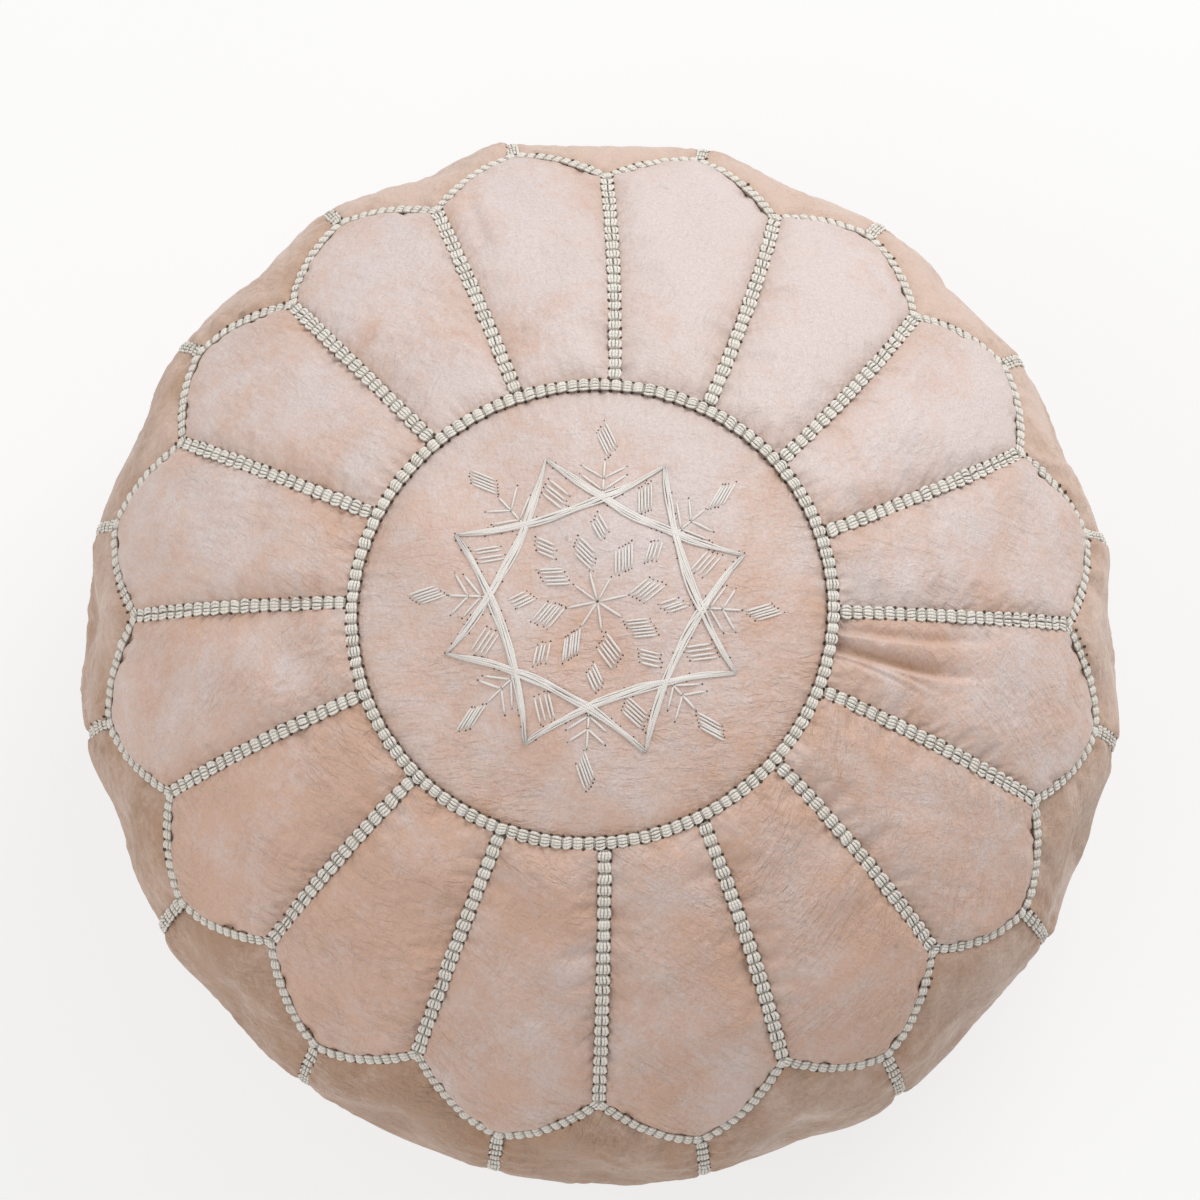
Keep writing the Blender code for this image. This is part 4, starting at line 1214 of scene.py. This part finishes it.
class Look:
    """A procedural material, built node by node round one Principled shader."""

    def __init__(self, name, roughness, metallic=0.0):
        self.material = bpy.data.materials.new(name)
        self.material.use_nodes = True
        self.tree = self.material.node_tree
        self.shader = self.tree.nodes["Principled BSDF"]
        self.set(Roughness=roughness, Metallic=metallic)

    def put(self, socket, value):
        """Links or sets one input."""
        if isinstance(value, bpy.types.NodeSocket):
            self.tree.links.new(value, socket)
        else:
            socket.default_value = value

    def set(self, **inputs):
        """Links or sets inputs of the shader."""
        for key, value in inputs.items():
            self.put(self.shader.inputs[key.replace("_", " ")], value)

    def node(self, kind, settings=None, **inputs):
        """Adds a node with its settings and inputs."""
        made = self.tree.nodes.new(kind)
        for key, value in (settings or {}).items():
            setattr(made, key, value)
        for key, value in inputs.items():
            self.put(made.inputs[key.replace("_", " ")], value)
        return made

    def sum(self, operation, first, second=0.0, third=0.0):
        """Result of a sum with up to three numbers."""
        made = self.tree.nodes.new("ShaderNodeMath")
        made.operation = operation
        for socket, value in zip(made.inputs, (first, second, third)):
            self.put(socket, value)
        return made.outputs[0]

    def value(self, name, output="Fac"):
        """Number or vector stored at the mesh's points."""
        return self.node("ShaderNodeAttribute", {"attribute_name": name}).outputs[output]

    def place(self):
        """Place in the object."""
        return self.node("ShaderNodeTexCoord").outputs["Object"]

    def noise(self, place, scale, detail=3.0, roughness=0.55, distortion=0.0):
        """Noise from 0 to 1."""
        made = self.node(
            "ShaderNodeTexNoise", Vector=place, Scale=scale, Detail=detail, Roughness=roughness,
            Distortion=distortion,
        )
        return made.outputs[0]

    def stretched(self, place, scales):
        """Place stretched along its axes."""
        made = self.node("ShaderNodeVectorMath", {"operation": "MULTIPLY"})
        self.put(made.inputs[0], place)
        self.put(made.inputs[1], scales)
        return made.outputs[0]

    def blend(self, share, first, second):
        """Colour between two colours."""
        made = self.node("ShaderNodeMix", {"data_type": "RGBA"})
        self.put(made.inputs[0], share)
        for socket, colour in zip(made.inputs[6:8], (first, second)):
            self.put(socket, colour if isinstance(colour, bpy.types.NodeSocket) else (*colour, 1))
        return made.outputs[2]

    def ramp(self, value, low, high, start=0.0, end=1.0):
        """Value carried from one range to another and held inside it."""
        made = self.node("ShaderNodeMapRange", {"clamp": True}, Value=value)
        for key, number in (("From Min", low), ("From Max", high), ("To Min", start), ("To Max", end)):
            made.inputs[key].default_value = number
        return made.outputs[0]

    def fade(self, value, reach, strength):
        """Share that falls from its full strength as a value grows past its reach."""
        share = self.sum("EXPONENT", self.sum("MULTIPLY", value, -1 / reach))
        return self.sum("MULTIPLY", share, strength)

    def stain(self, colour, tint, value, low, high, start, end):
        """Colour tinted by a share that a value carries from start to end."""
        return self.blend(self.ramp(value, low, high, start, end), colour, tint)

    def bump(self, *reliefs):
        """Raises the surface by the sum of values times their heights in metres."""
        height = 0.0
        for value, rise in reliefs:
            height = self.sum("MULTIPLY_ADD", value, rise, height)
        made = self.node("ShaderNodeBump", Height=height, Strength=1.0, Distance=1.0)
        self.set(Normal=made.outputs[0])

    def finish(self, colour):
        """Sets the colour and returns the material."""
        self.set(Base_Color=colour)
        return self.material


def leather_look(name, fair, tan):
    """Soft undyed leather: cloudy colour, pores and fine creases, with painted shade in the crease lines,
    where it dips into a seam and, through its tone, towards the front.
    """
    look = Look(name, 0.5)
    place, tone_and_shade, gap = look.value("hide", "Vector"), look.value("tone_and_shade"), look.value("seam_gap")
    cloud = look.noise(place, 17, 4, 0.55, 0.4)
    patch = look.noise(place, 60, 5, 0.6, 0.5)
    grain = look.noise(place, 700, 3, 0.6, 0.3)
    pebble = look.noise(place, 330, 3, 0.6, 0.6)
    creases = look.noise(look.stretched(place, (1.0, 3.0, 1.0)), 95, 3, 0.55, 1.2)
    cross = look.noise(look.stretched(place, (2.2, 1.0, 1.0)), 95, 3, 0.6, 1.6)
    creased = look.ramp(look.noise(place, 26, 2, 0.5), 0.36, 0.62)
    creased = look.sum("MULTIPLY", creased, look.ramp(tone_and_shade, 0.1, 0.9, 0.30, 1.6))
    # The tone carries painted shade: the leather is painted tanner and darker towards the front.
    tan_share = look.sum("ADD", look.ramp(cloud, 0.30, 0.70, -0.42, 0.42), tone_and_shade)
    tan_share = look.sum("ADD", look.ramp(patch, 0.3, 0.7, -0.27, 0.27), tan_share)
    tan_share = look.sum("ADD", look.ramp(pebble, 0.35, 0.70, 0.14, -0.24), tan_share)
    colour = look.blend(look.ramp(tan_share, 0.0, 1.0), fair, tan)
    colour = look.stain(colour, GRAIN_BROWN, grain, 0.38, 0.70, 0.0, 0.30)
    colour = look.stain(colour, tuple(1.12 * part for part in fair), patch, 0.58, 0.80, 0.0, 0.25)
    lines = look.ramp(look.sum("ABSOLUTE", look.sum("SUBTRACT", creases, 0.5)), 0.0, 0.05, 1.0, 0.0)
    lines = look.sum("MULTIPLY", lines, look.ramp(creased, 0.0, 1.0, 0.15, 1.0))
    # Painted shade: the crease lines are darkened brown.
    colour = look.blend(look.sum("MULTIPLY", lines, 0.08), colour, CREASE_SHADE_BROWN)
    # Painted shade: the leather is darkened brown where it dips into a seam, in a narrow dark band and a
    # wider tan one in cloudy patches.
    colour = look.blend(look.fade(gap, SEAM_SHADE_REACH, 0.50), colour, SEAM_SHADE_BROWN)
    strength = look.ramp(cloud, 0.35, 0.7, 0.08, 0.50)
    colour = look.blend(look.fade(gap, WIDE_SEAM_SHADE_REACH, strength), colour, WIDE_SEAM_SHADE_TAN)
    colour = look.stain(colour, MARK_BROWN, look.noise(place, 75, 1, 0.3), 0.80, 0.84, 0.0, 0.5)
    pores = look.ramp(look.node("ShaderNodeTexVoronoi", Vector=place, Scale=950.0).outputs[0], 0.0, 0.7)
    wrinkle = look.sum("MULTIPLY", creases, look.ramp(creased, 0.0, 1.6, 0.00024, 0.00240))
    look.bump((pores, 0.00003), (grain, 0.00026), (pebble, 0.00042), (wrinkle, 1.0), (lines, -0.00006),
              (cross, 0.00075))
    look.set(Roughness=look.ramp(patch, 0.3, 0.7, 0.42, 0.60), Specular_IOR_Level=0.42)
    look.set(Sheen_Weight=0.12, Sheen_Roughness=0.5)
    return look.finish(colour)


def thread_look(name, light, dark, ply=0.0016, depth=0.00006, roughness=0.62, groove_shade=0.55):
    """Plied thread: slanted plies, loose fibres and a little colour change between stitches, with painted
    shade between the plies, under each strand, at the strands' ends and on the core and ties.
    """
    look = Look(name, roughness)
    run, end, cell, cos, sin = map(look.value, ("run", "end", "cell", "spin_x", "spin_y"))
    phase = look.sum("MULTIPLY", run, TAU / ply)
    twist = look.sum("MULTIPLY", look.sum("SINE", phase), cos)
    twist = look.sum("MULTIPLY_ADD", look.sum("COSINE", phase), sin, twist)
    place = look.place()
    fibre = look.noise(place, 2600, 2, 0.6)
    # Painted shade in the grooves between the plies.
    colour = look.blend(look.ramp(twist, -1.0, 0.2, 0.42, 0.0), light, dark)
    colour = look.stain(colour, dark, fibre, 0.3, 0.6, 0.22, 0.0)
    colour = look.stain(colour, dark, look.noise(place, 120, 2, 0.5), 0.35, 0.7, 0.0, 0.18)
    colour = look.stain(colour, CELL_TAN, cell, 0.6, 1.0, 0.0, 0.14)
    # Painted shade on the underside of each strand, where it turns down towards the leather and its
    # neighbours.
    colour = look.stain(colour, GROOVE_SHADE_BROWN, sin, -0.1, 0.75, groove_shade, 0.0)
    # Painted shade at the ends of each strand, where it dips into a needle gap.
    colour = look.stain(colour, END_SHADE_BROWN, end, 0.70, 1.0, 0.0, groove_shade)
    # Painted shade on the core and the ties, which carry the cell value -1.
    colour = look.stain(colour, CORE_BROWN, cell, -1.0, -0.5, 0.60, 0.0)
    look.bump((twist, depth), (fibre, 0.00004))
    look.set(Sheen_Weight=0.25)
    return look.finish(colour)


def hole_shade_look():
    """Painted shade of a needle hole: a dark colour standing for its shaded inside."""
    look = Look("needle_hole_shade", 0.9)
    place = look.place()
    shade = look.blend(look.noise(place, 900), (0.055, 0.036, 0.026), (0.13, 0.085, 0.06))
    look.bump((look.noise(place, 3000), 0.0001))
    return look.finish(shade)


def cloth_look(name, light, dark, pitch, roughness=0.9):
    """Plain woven cloth: crossing yarns."""
    look = Look(name, roughness)
    place = look.place()
    bands = []
    for axis in ("X", "Y"):
        made = look.node("ShaderNodeTexWave", {"bands_direction": axis}, Vector=place, Scale=1 / pitch / 2)
        made.inputs["Distortion"].default_value = 0.6
        made.inputs["Detail"].default_value = 1.0
        bands.append(made.outputs["Fac"])
    weave = look.sum("MAXIMUM", bands[0], bands[1])
    fuzz = look.noise(place, 1800, 3, 0.6)
    colour = look.blend(weave, dark, light)
    colour = look.stain(colour, dark, look.noise(place, 25, 3, 0.5), 0.4, 0.7, 0.0, 0.25)
    colour = look.stain(colour, dark, fuzz, 0.3, 0.7, 0.0, 0.2)
    look.bump((weave, 0.00012), (fuzz, 0.00005))
    return look.finish(colour)


def filling_look():
    """Loose cotton and foam filling."""
    look = Look("filling_fibre", 0.95)
    place = look.place()
    lumps = look.noise(place, 60, 5, 0.65, 0.8)
    strands = look.noise(look.stretched(place, (1.0, 1.0, 5.0)), 400, 4, 0.6, 1.5)
    colour = look.blend(lumps, (0.82, 0.80, 0.75), (0.60, 0.57, 0.50))
    colour = look.stain(colour, (0.5, 0.47, 0.42), strands, 0.4, 0.7, 0.0, 0.3)
    look.bump((strands, 0.0004), (lumps, 0.002))
    return look.finish(colour)


def brass_look():
    """Zip brass: scratched, duller in its hollows and brighter at its edges."""
    look = Look("zip_metal", 0.3, 1.0)
    place = look.place()
    scratch = look.noise(look.stretched(place, (1.0, 9.0, 4.0)), 600, 3, 0.6)
    tarnish = look.noise(place, 220, 4, 0.6)
    edge = look.ramp(look.node("ShaderNodeNewGeometry").outputs["Pointiness"], 0.48, 0.56)
    colour = look.blend(look.ramp(tarnish, 0.35, 0.75), (0.66, 0.49, 0.25), (0.36, 0.26, 0.14))
    colour = look.blend(look.sum("MULTIPLY", edge, 0.6), colour, (0.90, 0.78, 0.52))
    look.set(Roughness=look.ramp(scratch, 0.3, 0.7, 0.22, 0.45))
    look.bump((scratch, 0.00004))
    return look.finish(colour)


def floor_look():
    """Plain pale studio floor."""
    look = Look("studio_floor", 0.85)
    place = look.place()
    shade = look.blend(look.noise(place, 6, 2), (0.245, 0.245, 0.245), (0.235, 0.235, 0.235))
    look.bump((look.noise(place, 300), 0.00005))
    look.set(Emission_Color=(1.0, 1.0, 1.0, 1.0), Emission_Strength=0.70)
    return look.finish(shade)


def add_floor():
    """Floor under the pouf."""
    half = 6.0
    points = np.array([(-half, -half, 0), (half, -half, 0), (half, half, 0), (-half, half, 0)])
    floor = add_mesh("floor", points - (0, 0, 0.0003), [np.array([(0, 1, 2, 3)])])
    floor.data.materials.append(floor_look())


def aim(data, place, target):
    """Light or camera at a place, turned towards a target."""
    made = bpy.data.objects.new(data.name, data)
    made.location = place
    made.rotation_euler = (Vector(target) - Vector(place)).to_track_quat("-Z", "Y").to_euler()
    bpy.context.scene.collection.objects.link(made)
    return made


def add_light(name, size, power, place, target, colour):
    """Soft square light aimed at a point."""
    data = bpy.data.lights.new(name, "AREA")
    data.shape = "SQUARE"
    data.size = size
    data.energy = power
    data.color = colour
    aim(data, place, target)


def add_studio():
    """Floor, pale surroundings and soft lights, the brightest from behind on the right."""
    add_floor()
    world = bpy.data.worlds.new("studio")
    world.use_nodes = True
    sky = world.node_tree.nodes["Background"]
    sky.inputs["Color"].default_value = (1.0, 0.99, 0.985, 1)
    sky.inputs["Strength"].default_value = 0.55
    bpy.context.scene.world = world
    middle = (0.0, 0.0, 0.5 * HEIGHT)
    add_light("key", 1.5, 39.0, (1.05, 1.75, 1.75), middle, (1.0, 0.992, 0.985))
    add_light("fill", 2.5, 23.0, (-1.9, -0.6, 2.1), middle, (1.0, 0.97, 0.94))


def add_camera():
    """Camera nearly overhead, tilted a little to the front."""
    data = bpy.data.cameras.new("camera")
    data.sensor_width = 36.0
    data.lens = CAMERA_LENS
    data.shift_x, data.shift_y = CAMERA_SHIFT
    data.clip_end = 30.0
    target = Vector((0.0, 0.0, CAMERA_TARGET_Z))
    way = Vector((0.0, -math.cos(CAMERA_ELEVATION), math.sin(CAMERA_ELEVATION)))
    bpy.context.scene.camera = aim(data, target + way * CAMERA_DISTANCE, target)


def dress_zip(brass, tape):
    """Finishes for the zip's own CAD parts."""
    for name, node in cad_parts.items():
        if name.startswith("zip_"):
            node.data.materials.clear()
            node.data.materials.append(tape if name.startswith("zip_tape") else brass)


leather = leather_look("undyed_leather", (0.688, 0.600, 0.583), (0.650, 0.425, 0.325))
# The side panels' leather is painted darker and browner than the top's, as painted shade for sides that the
# light from above reaches less.
shaded_side_leather = leather_look("shaded_side_leather", (0.645, 0.490, 0.410), (0.410, 0.250, 0.160))
base_leather = leather_look("base_leather", (0.600, 0.440, 0.370), (0.480, 0.320, 0.240))
braid_thread = thread_look("braid_thread", (0.87, 0.845, 0.785), (0.50, 0.46, 0.39))
# A slightly darker copy of the braid thread, with shallower groove shade, for the scallop, side and base
# braids.
dull_thread = thread_look("dull_braid_thread", (0.84, 0.81, 0.75), (0.48, 0.44, 0.37), groove_shade=0.45)
silk = ((0.86, 0.83, 0.80), (0.62, 0.57, 0.51))
silk_thread = thread_look("embroidery_thread", *silk, 0.0011, 0.00004, 0.42, groove_shade=0.25)
cotton = cloth_look("bag_cotton", (0.80, 0.77, 0.70), (0.62, 0.58, 0.50), 0.0009)
tape_cloth = cloth_look("zip_tape_cloth", (0.66, 0.58, 0.48), (0.42, 0.35, 0.28), 0.0007, 0.8)

add_panels(leather, shaded_side_leather)
add_medallion(leather)
add_base(base_leather)
hole_places = add_braids(braid_thread, dull_thread)
cover = cover_tree()
sewn_places = add_embroidery(cover, silk_thread)
add_needle_holes(cover, hole_places, sewn_places, hole_shade_look())
add_zip_stitches(braid_thread)
add_bag(cotton)
add_drawcord(braid_thread)
add_filling(filling_look())
dress_zip(brass_look(), tape_cloth)
add_studio()
add_camera()
bpy.context.scene.view_settings.view_transform = "Standard"
